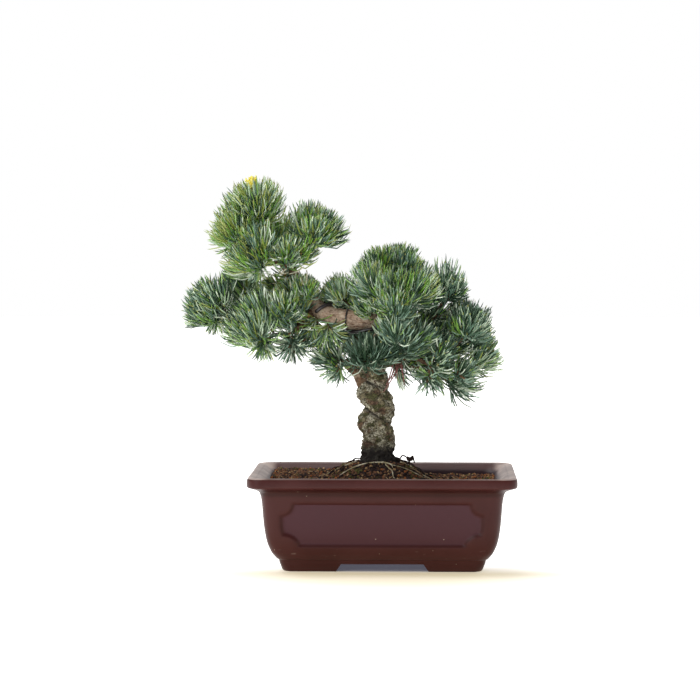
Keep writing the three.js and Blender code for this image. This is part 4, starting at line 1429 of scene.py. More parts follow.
        # The groove's shadow is painted into the bark through the crack attribute.
        marks[:-2] = np.maximum(marks[:-2], shadow.ravel())
        skin = Skin()
        skin.add(LAYOUT.place(places), faces, marks)
        dressed(skin.to_object("trunk_bark", [BarkFinish("old_bark").make()], True), "trunk_bark", "trunk")


@dataclass
class Limb:
    """A stretch of wood: its points and radii in millimetres, and whose it is."""

    points: Array
    radii: Array
    owner: str


@dataclass
class Tuft:
    """Where needles spread from: the place, the middle heading, the twig's heading and the needles' reach."""

    base: Array
    axis: Array
    twig: Array
    needle: float
    spread: float
    lift: float
    mass: str
    filled: float = 1


def room_between(a: Array, b: Array, c: Array, d: Array) -> Pair:
    """Closest approach of stretches a-b to stretches c-d, all pairs.

    Args:
        a: Starts of the first stretches, one row each.
        b: Their ends.
        c: Starts of the second stretches.
        d: Their ends.

    Returns:
        The distances and, for the second stretches, the share of the way where they are closest.
    """
    d1 = (b - a)[:, None]
    d2 = (d - c)[None]
    r = a[:, None] - c[None]
    aa, ee = (np.maximum((d * d).sum(-1), 1e-9) for d in (d1, d2))
    f, g, h = ((p * q).sum(-1) for p, q in ((d2, r), (d1, r), (d1, d2)))
    under = np.maximum(aa * ee - h * h, 1e-9)
    s = np.clip((h * f - g * ee) / under, 0, 1)
    t = np.clip((h * s + f) / ee, 0, 1)
    s = np.clip((h * t - g) / aa, 0, 1)
    near = r + d1 * s[..., None] - d2 * t[..., None]
    return np.linalg.norm(near, axis=-1), t


@dataclass
class Growth:
    """The plant's wood below the needles, grown by the source's rule, in millimetres."""

    trunk: Trunk
    gap: float = 0.35
    base_share: float = 0.55
    largest: float = 4.6
    tip_radius: float = 1.9
    reach_back: float = 0.35
    sag: float = 0.25
    stem: float = 1.7
    twig: float = 1.15
    point_spacing: float = 1.1
    bough_sides: int = 14
    twig_sides: int = 7
    plate: float = 2.6
    plate_rise: float = 0.3
    seed: int = 1907
    seed_step: int = 31
    spur: tuple = ((-13, 4, 146), (-22, 1, 157), (-35, -4, 168))
    spur_radii: Span = (7.5, 2.2)
    boughs: list[Limb] = field(default_factory=list)
    twigs: list[Limb] = field(default_factory=list)
    tufts: list[Tuft] = field(default_factory=list)

    def bough(self, mass: Mass) -> Limb:
        """The curved bough from inside the trunk to a mass's foot.

        Args:
            mass: The mass.

        Returns:
            The bough.
        """
        start, end = self.trunk.point(mass.leave), np.array(mass.foot, float)
        pull = np.linalg.norm(end - start) * self.reach_back
        out = unit(unit(end - start) - np.array([0, 0, self.sag]))
        ahead, back = start + out * pull, end - heading(*mass.heading) * pull
        t = np.linspace(0, 1, max(12, int(np.linalg.norm(end - start) / self.point_spacing)))[:, None]
        points = start * (1 - t) ** 3 + 3 * ahead * t * (1 - t) ** 2 + 3 * back * t**2 * (1 - t) + end * t**3
        base = min(self.trunk.radius(mass.leave) * self.base_share, self.largest)
        return Limb(points, base + (self.tip_radius - base) * t[:, 0], mass.name)

    def branch(self, mass: Mass, seed: int) -> tuple[list[tuple], list[Tuft]]:
        """The stem and side twigs of a mass, and the tufts that they end in.

        Args:
            mass: The mass.
            seed: What its chances are drawn from.

        Returns:
            The stretches of wood as start, end and two radii, and the tufts.
        """
        draw = Dice(seed)
        aim = heading(*mass.heading)
        foot = np.array(mass.foot, float) + aim * self.gap if mass.foot else self.trunk.point(mass.leave)
        end = foot + aim * mass.stem
        across = unit(np.cross(UP, aim))

        def tuft(base: Array, way: Array, needle: float) -> Tuft:
            """A tuft whose axis leans upwards from its twig."""
            axis = unit(way + (UP - way) * mass.lift)
            return Tuft(base, axis, way, needle, mass.spread, mass.lift, mass.name)

        tufts = [tuft(end, aim, mass.needle)]
        wood = [(foot, end, self.stem, self.twig)]
        for k in range(mass.twigs):
            roll = math.radians(mass.roll) + k * GOLDEN + (draw() - 0.5) * 0.4
            opening = math.radians(mass.open) * (0.88 + 0.24 * draw())
            way = unit(aim * math.cos(opening) + turned(across, aim, roll) * math.sin(opening))
            share = 0.4 + 0.5 * k / mass.twigs if mass.foot else 0.75
            leave = foot + (end - foot) * share
            tip = leave + way * mass.twig * (0.85 + 0.3 * draw())
            tufts.append(tuft(tip, way, mass.needle * (0.86 + 0.12 * draw())))
            wood.append((leave, tip, self.twig, self.twig * 0.85))
        return wood, tufts

    def grow(self) -> None:
        """Grows every bough and mass, leaving out side twigs that would touch other wood."""
        self.boughs = [self.bough(m) for m in MASSES if m.leave and m.foot]
        for number, mass in enumerate(MASSES):
            wood, tufts = self.branch(mass, self.seed + self.seed_step * number)
            tufts[0].filled = mass.lead
            for k, ((a, b, ra, rb), tuft) in enumerate(zip(wood, tufts)):
                if k and not self.is_clear(a[None], b[None], max(ra, rb) + self.gap, mass.name)[0]:
                    continue
                self.twigs.append(Limb(np.array([a, b]), np.array([ra, rb]), mass.name))
                self.tufts.append(tuft)

    def stretches(self, owner: str, all_own: bool) -> tuple[Array, Array, Array]:
        """The wood of the trunk and the boughs, in straight stretches.

        Args:
            owner: The mass whose own bough tip is left out.
            all_own: Whether its whole bough is left out.

        Returns:
            The stretches' starts, ends and radii.
        """
        line = self.trunk.line(0, len(TRUNK) - 1, 55)
        mean = np.array([self.trunk.radius(s) for s in np.linspace(0, len(TRUNK) - 1, 54)])
        starts, ends, radii = [line[:-1]], [line[1:]], [mean * 1.05]
        for limb in self.boughs:
            if all_own and limb.owner == owner:
                continue
            cut = -6 if limb.owner == owner else -1
            points, thick = limb.points[:cut:3], limb.radii[:cut:3]
            starts.append(points[:-1])
            ends.append(points[1:])
            radii.append(thick[:-1])
        return np.concatenate(starts), np.concatenate(ends), np.concatenate(radii)

    def is_clear(self, a: Array, b: Array, thick: float, owner: str, all_own: bool = False) -> Array:
        """Which of the stretches a-b keep their own thickness clear of the trunk and of the boughs."""
        c, d, radii = self.stretches(owner, all_own)
        return (room_between(a, b, c, d)[0] > radii[None] + thick).all(axis=1)

    def build(self) -> None:
        """Makes and dresses the boughs and the twigs."""
        look = BarkFinish("limb_bark", young=(126, 103, 80), worn=(104, 70, 50), turn=(0, 1), foot=(-20, -10))
        finish = look.make()
        skin = Skin()
        line = smooth_line(np.array(self.spur, float), 24)
        for limb in self.boughs + [Limb(line, np.linspace(*self.spur_radii, len(line)), "spur")]:
            axes = round_axes(limb.points)
            radii = np.repeat(limb.radii[:, None], self.bough_sides, axis=1)
            places, _ = sweep(limb.points, radii, *axes)
            relief, cracks = bark_relief(LAYOUT.place(places), self.plate)
            radii = radii * (1 + self.plate_rise * relief[:-2].reshape(radii.shape))
            places, faces = sweep(limb.points, radii, *axes)
            # The cracks' depths become painted shade in the boughs' bark.
            skin.add(LAYOUT.place(places), faces, cracks * 0.6)
        names = [f"bough_{limb.owner}" for limb in self.boughs]
        dressed(skin.to_object("boughs_bark", [finish], True), "limb_bark", *names)
        skin = Skin()
        t = np.linspace(0, 1, 8)
        knotty = 1 + 0.12 * np.cos(np.arange(len(t)) * 2.4)
        for limb in self.twigs:
            points = limb.points[0] * (1 - t[:, None]) + limb.points[1] * t[:, None]
            skin.add_tube(points, np.interp(t, [0, 1], limb.radii) * knotty, self.twig_sides)
        masses = [f"needles_{m.name}" for m in MASSES]
        dressed(skin.to_object("twigs_bark", [finish], True), "limb_bark", *masses)


class NeedleKind(Enum):
    """A needle's outer face, its two inner faces, and the share of needles with them, from cool to warm."""

    DEEP = ((43, 67, 46), (82, 106, 86), 0.255)
    BLUE = ((82, 110, 92), (156, 184, 164), 0.2)
    PALE = ((158, 180, 148), (228, 240, 218), 0.23)
    FRESH = ((102, 144, 54), (154, 188, 114), 0.22)
    OLIVE = ((128, 142, 62), (178, 190, 120), 0.095)


@dataclass(frozen=True)
class LateTuft:
    """A tuft on a short late shoot: its mass, its heading in degrees, its stem, its needles and their spread.

    It grows from the trunk at a station, or from its mass's middle tuft where there is none.
    """

    mass: str
    station: float | None
    aim: Span
    stem: float
    needle: float
    spread: float = 84


LATE = [LateTuft(*row) for row in (
    ("left_mid", 11.6, (-80, -50), 7, 25), ("top_front", 8.6, (-125, 20), 5, 23),
    ("crown_low", 13.6, (-168, 8), 15, 18), ("left_mid", 12.2, (-108, -52), 7, 27),
    ("left_front", None, (176, 6), 5, 30), ("left_front", None, (278, -50), 8, 17),
    ("left_far", None, (240, -58), 1, 19), ("left_far", None, (160, 55), 3, 31, 70),
    ("low_left", None, (180, 12), 4, 31), ("low_left", None, (150, 50), 3, 27),
    ("crown_left", None, (185, -8), 3, 29, 70), ("crown_front", None, (190, 8), 3, 30),
    ("crown_front", None, (255, -15), 4, 16), ("crown_right", None, (-12, 8), 2, 35, 68),
    ("apex", None, (0, 80), 3, 31, 60), ("top_main", None, (10, 60), 7, 32, 70),
    ("top_left", None, (80, 78), 2, 34), ("right_upper", None, (130, 82), 0, 54, 42),
    ("right_low", None, (0, -3), 3, 33, 44), ("left_low", None, (-20, -8), 6, 28, 70),
)]
# How cool each mass's needles are, by the start of its name, the first that fits. Below 0 they are warmer.
COOLNESS = (
    ("low_left", 0.5), ("low_", 1.15), ("mid_", 0.45), ("left_low", 0.7), ("left_f", 0.13),
    ("right_mid", 0.58), ("right_far", 0.1), ("right_", 0.38), ("top_left", -0.05), ("top_", 0.1),
    ("crown_right", 0.04), ("crown_left", -0.18), ("crown", -0.1), ("apex", -0.1),
)
# The places that the shoots of each group head away from.
FOCI = (
    ("apex", (-92, 10, 250)), ("crown", (-84, 10, 232)), ("left", (-66, 8, 180)), ("top", (6, 8, 190)),
    ("right_", (36, 8, 150)),
)


def first_fit(table: tuple, name: str, otherwise: object) -> object:
    """The value of a table's first row whose start fits a name, or another value if none does."""
    return next((value for start, value in table if name.startswith(start)), otherwise)


@dataclass
class Shoot:
    """A leafy end of a twig: where it starts, its heading, its length and the tuft that it belongs to."""

    start: Array
    way: Array
    length: float
    tuft: Tuft
    bundles: int
    on_bough: bool = False

    @property
    def tip(self) -> Array:
        """Its far end."""
        return self.start + self.way * self.length


@dataclass
class Needles:
    """The needles, in bundles of five on shoots that grow on from each tuft, in millimetres and degrees."""

    growth: Growth
    side_shoots: int = 3
    side_from: Span = (1, 4.5)
    bundles: tuple[int, int] = (15, 10)
    inner_bundles: int = 10
    inner_spacing: float = 7
    inner_share: float = 0.78
    inner_lengths: Span = (5, 8)
    per_bundle: int = 5
    radius: float = 0.57
    splay: float = 0.19
    side_open: float = 42
    side_length: float = 7.5
    main_length: float = 4
    leafy: float = 9
    opening: Span = (52, 8)
    shorten: float = 0.2
    shortest: float = 8
    overrun: float = 8
    brush: float = 0.93
    rising: float = 0.4
    falling: float = -0.2
    under: float = -0.12
    under_share: float = 0.45
    tipped: float = 0.22
    cone_room: float = 8.5
    steering: float = 0.6
    flattened: float = 0.65
    bow: Span = (0.06, 0.25)
    by_bundle: float = 0.55
    rings: tuple = ((0, 0.75), (0.3, 1), (0.62, 0.97), (0.9, 0.8))
    stem_radii: Span = (1.8, 1.1)
    dice: Random = field(default_factory=lambda: np.random.default_rng(5))
    shoots: list[Shoot] = field(default_factory=list)
    stems: list[Array] = field(default_factory=list)

    def branch(self) -> None:
        """Grows the shoots: one ahead of each tuft and the others opened round it."""
        dice = self.dice
        grown = {mass.name: mass.full for mass in MASSES}
        for tuft in self.growth.tufts + self.late_tufts():
            full = grown[tuft.mass]
            across = unit(np.cross(tuft.axis, [0.31, 0.77, 0.55]))
            way = self.lifted(unit(tuft.axis + tuft.twig * 0.3), tuft)
            self.shoots.append(Shoot(tuft.base, way, self.main_length, tuft, round(self.bundles[0] * full)))
            for k in range(self.side_shoots):
                roll = k * 2 * math.pi / self.side_shoots + dice.uniform(-0.6, 0.6)
                opening = math.radians(self.side_open * dice.uniform(0.75, 1.2))
                out = turned(across, tuft.axis, roll)
                way = self.lifted(unit(tuft.axis * math.cos(opening) + out * math.sin(opening)), tuft)
                start = tuft.base - tuft.twig * dice.uniform(*self.side_from)
                length = self.side_length * dice.uniform(0.7, 1.25)
                if np.dot(way, -tuft.twig) < 0.6:
                    self.shoots.append(Shoot(start, way, length, tuft, round(self.bundles[1] * full)))
        for limb in self.growth.boughs:
            self.branch_inner(limb)

    def lifted(self, way: Array, tuft: Tuft) -> Array:
        """A shoot's heading steered outwards from its group's foot and upwards, unless its mass hangs.

        Args:
            way: Its heading.
            tuft: The tuft that it belongs to.

        Returns:
            Its new heading.
        """
        if tuft.lift < 0.1:
            return way
        way = way * (1, self.flattened if way[1] < 0 else 1, 1)
        focus = np.array(first_fit(FOCI, tuft.mass, tuft.base - way), float)
        return unit(way + unit(tuft.base - focus) * self.steering + UP * self.rising * (1 - abs(way[2])))

    def late_tufts(self) -> list[Tuft]:
        """Places the late tufts and notes down their stems from the trunk.

        Returns:
            The tufts.
        """
        tufts = []
        for late in LATE:
            way = heading(*late.aim)
            if late.station is None:
                base = next(t.base for t in self.growth.tufts if t.mass == late.mass) + way * late.stem
            else:
                radius = self.growth.trunk.radius(late.station)
                base = self.growth.trunk.point(late.station) + way * (radius + late.stem)
                self.stems.append(np.linspace(base - way * (late.stem + 3), base, 6))
            lift = 0.25 if late.aim[1] > 0 else 0
            tufts.append(Tuft(base, way, way, late.needle, late.spread, lift, late.mass))
        return tufts

    def branch_inner(self, limb: Limb) -> None:
        """Grows short leafy shoots along the outer part of a bough.

        Args:
            limb: The bough.
        """
        tuft = next(t for t in self.growth.tufts if t.mass == limb.owner)
        steps = np.linalg.norm(np.diff(limb.points, axis=0), axis=1)
        back = np.concatenate([[0], np.cumsum(steps[::-1])])[::-1]
        across = unit(np.cross(tangents_of(limb.points)[-1], [0.2, 0.3, 0.9]))
        count = int(self.inner_share * back[0] / self.inner_spacing)
        for k in range(1, count + 1):
            at = int(np.argmin(np.abs(back - k * self.inner_spacing)))
            tangent = tangents_of(limb.points)[at]
            out = turned(across, tangent, k * GOLDEN + self.dice.uniform(-0.4, 0.4))
            out = unit(out - tangent * np.dot(out, tangent))
            way = unit(tangent * 0.7 + out * 0.75 + UP * tuft.lift * 0.8)
            start = limb.points[at] + out * limb.radii[at] * 0.5
            length = self.dice.uniform(*self.inner_lengths)
            self.shoots.append(Shoot(start, way, length, tuft, self.inner_bundles, True))

    def draw_bundles(self, shoot: Shoot, longest: float, number: int) -> list[Array]:
        """Draws a shoot's bundles, opened more at its foot than at its tip.

        Args:
            shoot: The shoot.
            longest: The length of its longest needles.
            number: The number of bundles drawn before.

        Returns:
            The needles' starts, headings, lengths and bundle numbers.
        """
        way, dice = shoot.way, self.dice
        across = unit(np.cross(way, [0.4, -0.2, 0.9]))
        low, high = self.opening
        starts, ways, lengths = [], [], []
        for k in range(shoot.bundles):
            place = (k + dice.random()) / shoot.bundles
            along = shoot.length - self.leafy * (1 - place)
            at = shoot.start + (way if along > 0 else shoot.tuft.twig) * along
            open_by = math.radians(low + (high - low) * place**1.15 + dice.uniform(-9, 9))
            out = turned(across, way, k * GOLDEN + dice.uniform(-0.35, 0.35))
            lead = unit(way * math.cos(open_by) + out * math.sin(open_by))
            full = longest * (0.7 + 0.36 * dice.random() ** 0.6) * (1 - 0.16 * open_by**2)
            for _ in range(self.per_bundle):
                starts.append(at + out * 0.6 + dice.normal(0, 0.2, 3))
                ways.append(unit(lead + dice.normal(0, self.splay, 3)))
                lengths.append(full * dice.uniform(0.95, 1.03))
        numbers = number + 1 + np.arange(len(starts)) // self.per_bundle
        return [np.array(starts), np.array(ways), np.array(lengths), numbers]

    def sprout(self) -> dict[str, Array]:
        """Draws all needles' starts, headings and lengths, and keeps those in their mass and clear of wood.

        Returns:
            Arrays with one row for each needle that is kept.
        """
        filled = {mass.name: mass.reach for mass in MASSES}
        kept: dict[str, list] = {"start": [], "way": [], "length": [], "bundle": [], "lean": [], "cool": []}
        number = 0
        for shoot in self.shoots:
            tuft = shoot.tuft
            share = filled[tuft.mass] * tuft.filled
            start, ways, lengths, bundle = self.draw_bundles(shoot, tuft.needle * share * self.brush, number)
            number += shoot.bundles
            apart = np.degrees(np.arccos(np.clip(ways @ tuft.axis, -1, 1)))
            reach = tuft.needle * (1 - self.shorten * np.minimum(apart / tuft.spread, 1.2) ** 2)
            reach = reach * share * self.dice.uniform(0.94, 1.03, len(start))
            offset = start - tuft.base
            b = (offset * ways).sum(1)
            length = -b + np.sqrt(np.maximum(b * b - (offset * offset).sum(1) + reach**2, 1))
            length = np.minimum(length, lengths)
            keep = (apart < tuft.spread + self.overrun) & (length > self.shortest)
            keep &= ways @ -tuft.twig < 0.75
            if tuft.lift > 0.2:
                keep &= ways[:, 2] > self.falling
            keep &= (self.dice.random(len(start)) < self.under_share) | (ways[:, 2] > self.under)
            tip = start + ways * length[:, None]
            keep &= self.growth.is_clear(start + ways * 2, tip, self.radius, tuft.mass, shoot.on_bough)
            if tuft.mass == MASSES[0].name:
                keep &= room_between(start, tip, *PollenCones(self.growth).room())[0][:, 0] > self.cone_room
            lean = np.repeat((UP * 0.7 + shoot.way * 0.5)[None], len(start), axis=0)
            cool = np.full(len(start), float(first_fit(COOLNESS, tuft.mass, 0)))
            for key, values in zip(kept, (start, ways, length, bundle, lean, cool)):
                kept[key].append(values[keep])
        return {key: np.concatenate(values) for key, values in kept.items()}

    def finish_form(self, grown: dict[str, Array]) -> None:
        """Gives every needle its bow, the side its inner faces look to, and its thickness.

        Args:
            grown: What sprout gave, which this adds to.
        """
        count, way, dice = len(grown["start"]), grown["way"], self.dice
        lean = grown["lean"] + dice.normal(0, 0.3, (count, 3))
        square = lean - way * (lean * way).sum(1, keepdims=True)
        grown["bow"] = square * dice.uniform(*self.bow, (count, 1)) + dice.normal(0, 0.014, (count, 3))
        grown["inner"] = unit(square + dice.normal(0, 0.35, (count, 3)))
        grown["inner"] = unit(grown["inner"] - way * (grown["inner"] * way).sum(1, keepdims=True))
        grown["radius"] = self.radius * dice.uniform(0.85, 1.15, count)
        grown["tipped"] = dice.random(count) < self.tipped * (1 - 0.75 * grown["cool"])

    def shape(self, pick: Array, grown: dict[str, Array]) -> Skin:
        """The skins of chosen needles: three-sided, bowed, with blunt ends.

        Args:
            pick: Which needles.
            grown: What sprout and finish_form gave.

        Returns:
            Their joined skin, with finish 0 on outer faces, 1 on inner ones and 2 on tips.
        """
        own = {key: values[pick] for key, values in grown.items()}
        over = np.cross(own["way"], own["inner"])
        long = own["length"][:, None]
        rings = []
        for share, wide in self.rings + ((1, 0),):
            middle = own["start"] + own["way"] * long * share - own["bow"] * long * 4 * share * (1 - share)
            if not wide:
                rings.append(middle[:, None])
                continue
            turn = np.radians([120, 240, 0])[None, :, None]
            out = np.cos(turn) * own["inner"][:, None] + np.sin(turn) * over[:, None]
            rings.append(middle[:, None] + out * (own["radius"] * wide)[:, None, None])
        places = np.concatenate(rings, axis=1)
        faces, looks = [[0, 2, 1]], [0]
        for level in range(len(self.rings) - 1):
            for k in range(3):
                a, b = level * 3 + k, level * 3 + (k + 1) % 3
                faces += [[a, b, b + 3], [a, b + 3, a + 3]]
                looks += [min(k, 1)] * 2
        last = len(self.rings) * 3 - 3
        faces += [[last + k, last + (k + 1) % 3, last + 3] for k in range(3)]
        plain, tipped = looks + [0, 1, 1], looks + [2, 2, 2]
        count = len(places)
        all_faces = np.array(faces)[None] + places.shape[1] * np.arange(count)[:, None, None]
        all_looks = np.where(own["tipped"][:, None], np.array(tipped)[None], np.array(plain)[None])
        skin = Skin()
        skin.add(LAYOUT.place(places.reshape(-1, 3)), all_faces.reshape(-1, 3), 0, all_looks.ravel())
        return skin

    def make_shoots(self) -> None:
        """Makes the leafy twig ends and the buds at their tips."""
        dice = self.dice
        wood, rusty, ochre = Skin(), Skin(), Skin()
        for points in self.stems:
            wood.add_tube(points, np.linspace(*self.stem_radii, len(points)), 9)
        for shoot in self.shoots:
            t = np.linspace(0, 1, 5)[:, None]
            wood.add_tube(shoot.start * (1 - t) + shoot.tip * t, [1, 1.05, 0.95, 1, 0.7], 7)
            for _ in range(dice.integers(1, 3) if shoot.way[2] > -0.2 else 0):
                way = unit(shoot.way + dice.normal(0, 0.35, 3))
                wide, long = dice.uniform(0.9, 1.4), dice.uniform(3.2, 5.2)
                points = shoot.tip + way * long * np.linspace(-0.15, 1, 6)[:, None]
                radii = wide * np.array([0.6, 1, 1.05, 0.8, 0.45, 0.12])
                (rusty if dice.random() < 0.65 else ochre).add_tube(points, radii, 7)
        plain_piece(wood, "shoots", "limb_bark", PlainFinish("shoot_bark", (98, 82, 58), 0.8, 0.3))
        colours = (126, 92, 64), (178, 152, 92)
        plain_pieces("limb_bark", 0.6, buds_rusty=(rusty, colours[0]), buds_ochre=(ochre, colours[1]))

    def deal(self, grown: dict[str, Array]) -> Array:
        """Deals every needle one of the kinds, often the same one through a bundle.

        Args:
            grown: What sprout gave.

        Returns:
            The number of each needle's kind.
        """
        count, cool = len(grown["start"]), grown["cool"]
        bounds = np.cumsum([kind.value[2] for kind in NeedleKind])
        by_bundle = self.dice.random(grown["bundle"].max() + 1)[grown["bundle"]]
        draw = np.where(self.dice.random(count) < self.by_bundle, by_bundle, self.dice.random(count))
        draw = np.minimum(draw ** (0.88 + 1.3 * cool) * (1 - 0.43 * cool), 1)
        return np.searchsorted(bounds, draw * 0.9999 * bounds[-1])

    def build(self) -> None:
        """Grows, deals out and dresses the needles."""
        self.branch()
        grown = self.sprout()
        self.finish_form(grown)
        kinds = self.deal(grown)
        tip = PlainFinish("needle_tip", (156, 160, 88), 0.5, 0.4).make()
        for number, kind in enumerate(NeedleKind):
            name = kind.name.lower()
            outer, inner, _ = kind.value
            finishes = [
                PlainFinish(f"needle_{name}_outer", outer, 0.45, 0.4).make(),
                PlainFinish(f"needle_{name}_inner", inner, 0.5, 0.4).make(), tip,
            ]
            skin = self.shape(kinds == number, grown)
            dressed(skin.to_object(f"needles_{name}", finishes, False), "needles")
        self.make_shoots()
        log.info("%d needles", len(kinds))


@dataclass
class PollenCones:
    """The cluster of yellow pollen cones that stands in the top tuft, in millimetres."""

    growth: Growth
    lean: Place = (-0.23, -0.17, 1)
    stalk: float = 31
    count: int = 16
    grains: int = 8
    grain: float = 1.3
    cone: float = 5.5
    ripe: float = 0.35
    stalk_radius: float = 1
    seed: int = 3

    def room(self) -> Pair:
        """The start and end of the stretch that the cluster takes up, one row each."""
        foot, way = self.growth.tufts[0].base, unit(np.array(self.lean))
        return (foot + way * (self.stalk - 9))[None], (foot + way * (self.stalk + 6) + (0, -6, 0))[None]

    def build(self) -> None:
        """Makes and dresses the cones and their stalk."""
        dice = np.random.default_rng(self.seed)
        foot = self.growth.tufts[0].base
        way = unit(np.array(self.lean))
        across = unit(np.cross(way, [0, 1, 0]))
        shape, faces = ball(1)
        young, ripe = Skin(), Skin()
        for k in range(self.count):
            out = turned(across, way, k * GOLDEN)
            lead = unit(way + out * dice.uniform(0.15, 0.5))
            start = foot + way * (self.stalk - 5 + 3 * k / self.count) + out * dice.uniform(1.2, 2.8)
            for grain in range(self.grains):
                share = grain / (self.grains - 1)
                size = self.grain * (1.1 - 0.5 * share) * dice.uniform(0.8, 1.2)
                at = start + lead * self.cone * share + dice.normal(0, 0.3, 3) * (1 - 0.6 * share)
                (ripe if dice.random() < self.ripe else young).add(LAYOUT.place(shape * size + at), faces)
        colours = (234, 216, 76), (236, 230, 140)
        plain_pieces("needles", 0.7, pollen_cones=(young, colours[0]), pollen_cones_ripe=(ripe, colours[1]))
        t = np.linspace(0, 1, 8)[:, None]
        skin = Skin()
        skin.add_tube(foot + way * self.stalk * t, np.full(len(t), self.stalk_radius), 8)
        plain_piece(skin, "pollen_stalk", "limb_bark", PlainFinish("cone_stalk", (150, 120, 60), 0.7, 0.3))


@dataclass(frozen=True)
class Winding:
    """How a wire goes round the trunk, as in the source.

    It runs between two stations, from a first angle through a sweep, in degrees, with an ease above 1 where
    it starts its turn slowly. Its radius is in millimetres.
    """

    low: float
    high: float
    start: float
    sweep: float
    ease: float
    points: int
    radius: float


@dataclass
class Wires:
    """The training wires, in millimetres, wound as the source winds them."""

    trunk: Trunk
    leader: Winding = Winding(8.7, 12, 215, -310, 2.5, 120, 1.5)
    tie: Winding = Winding(10.4, 10.42, 192, 245, 1, 60, 0.6)
    gap: float = 0.3
    end_share: float = 0.7
    station_step: float = 0.002

    def line(self, wire: Winding) -> Array:
        """The line that a wire follows.

        Args:
            wire: How it is wound.

        Returns:
            The points of its middle.
        """
        points = []
        for k in range(wire.points + 1):
            station = wire.low + (wire.high - wire.low) * k / wire.points
            here, step = self.trunk.point(station), self.station_step
            tangent = unit(self.trunk.point(station + step) - self.trunk.point(station - step))
            across = unit(UP - tangent * tangent[2])
            over = np.cross(tangent, across)
            angle = math.radians(wire.start + wire.sweep * (k / wire.points) ** wire.ease)
            reach = self.trunk.radius(station) + (self.gap + wire.radius)
            points.append(here + (across * math.cos(angle) + over * math.sin(angle)) * reach)
        return np.array(points)

    def build(self) -> None:
        """Makes and dresses the wires."""
        finish = WireFinish().make()
        names = ("leader_coil", "leader_wire"), ("tie_loop", "tie_wire")
        for (name, node), wire in zip(names, (self.leader, self.tie)):
            line = self.line(wire)
            radii = np.full(len(line), wire.radius)
            radii[[0, -1]] *= self.end_share
            skin = Skin()
            skin.add_tube(line, radii, 12)
            dressed(skin.to_object(name, [finish], True), "wire", node)


@dataclass
class SurfaceRoots:
    """Thin pale roots that lie on the mound, in millimetres.

    Three run outwards from the trunk: first and last angle, near and far distance. One lies across its front,
    and forks.
    """

    soil: Soil
    radius: float = 0.56
    roots: tuple = ((205, 187, 25, 48), (285, 291, 25, 46), (338, 350, 25, 50))
    buried: float = 6
    lift: float = 0.4
    crossing: tuple = ((-35, -26), (-28, -23), (-18, -21), (-7, -19.5), (2, -19.5), (7, -22), (8, -26))
    forked: tuple = ((7, -22), (14, -21), (23, -19), (34, -18))
    crossing_lift: float = 1.3
    seed: int = 17

    def lay(self, skin: Skin, xy: Array, radii: Array, lift: float) -> None:
        """Lays a root on the soil along a course seen from above, its middle lifted a little."""
        x, y = xy.T
        skin.add_tube(np.stack([x, y, self.soil.level(x, y) + self.soil.below + lift], 1), radii, 9)

    def build(self) -> None:
        """Makes and dresses the roots."""
        skin = Skin()
        dice = np.random.default_rng(self.seed)
        for low, high, near, far in self.roots:
            t = np.linspace(0, 1, 40)
            angle = np.radians(low + (high - low) * t) + 0.03 * np.sin(t * 11 + low)
            away = near - self.buried + (far - near + self.buried) * t
            xy = np.stack([TRUNK[0][0] + away * np.cos(angle), TRUNK[0][1] + away * np.sin(angle)], 1)
            taper = np.interp(t, [0, 0.6, 1], [1, 0.65, 0.3])
            self.lay(skin, xy, self.radius * taper * dice.uniform(0.85, 1.15, len(t)), self.lift)
        for course, thick in ((self.crossing, 1.0), (self.forked, 0.6)):
            xy = smooth_line(np.array(course, float), 48)
            taper = np.interp(np.linspace(0, 1, len(xy)), [0, 0.2, 0.8, 1], [0.5, 1, 1, 0.4])
            radii = self.radius * thick * taper * dice.uniform(0.9, 1.1, len(xy))
            self.lay(skin, xy, radii, self.crossing_lift)
        nodes = ("surface_root_left", "surface_root_front", "surface_root_right")
        dressed(skin.to_object("surface_roots", [RootFinish().make()], True), "root", *nodes)


@dataclass
class LooseNeedles:
    """Dead needles caught in the crown, red ones that hang, and one long needle, in millimetres."""

    pale_round: tuple = (-74, -12, 238)
    pale_spread: tuple = (7, 5, 5)
    pale_count: int = 16
    red_round: tuple = (10, -14, 164)
    red_spread: tuple = (3.5, 3, 2)
    red_count: int = 9
    long_needle: tuple = ((57.5, -14, 143.5), (61, -15, 138), (66, -16, 133), (72, -16, 130))
    radius: float = 0.5
    taper: tuple = (0.8, 1, 1, 1, 1, 1, 0.9, 0.7, 0.3)
    seed: int = 23

    def strand(self, skin: Skin, start: Array, way: Array, long: float, bend: Array) -> None:
        """Adds a thin bent needle to a skin."""
        t = np.linspace(0, 1, 9)[:, None]
        skin.add_tube(start + way * long * t + bend * long * t * t, self.radius * np.array(self.taper), 5)

    def build(self) -> None:
        """Makes and dresses the loose needles."""
        dice = np.random.default_rng(self.seed)
        pale, red, green = Skin(), Skin(), Skin()
        for _ in range(self.pale_count):
            start = np.array(self.pale_round) + dice.normal(0, 1, 3) * self.pale_spread
            way = unit(dice.normal(0, 1, 3) * (1, 0.5, 0.6) - (0, 0, 0.5))
            self.strand(pale, start, way, dice.uniform(9, 20), dice.normal(0, 0.35, 3))
        for _ in range(self.red_count):
            start = np.array(self.red_round) + dice.normal(0, 1, 3) * self.red_spread
            way = unit(np.array([dice.normal(0, 0.35), dice.normal(0, 0.3), -1]))
            self.strand(red, start, way, dice.uniform(10, 19), dice.normal(0, 0.2, 3))
        points = smooth_line(np.array(self.long_needle, float), 14)
        green.add_tube(points, self.radius * np.linspace(1.2, 0.6, len(points)), 6)
        plain_pieces(
            "needles", 0.6, dead_needles=(pale, (196, 190, 164)), red_needles=(red, (140, 92, 88)),
            long_needle=(green, (92, 112, 78)),
        )


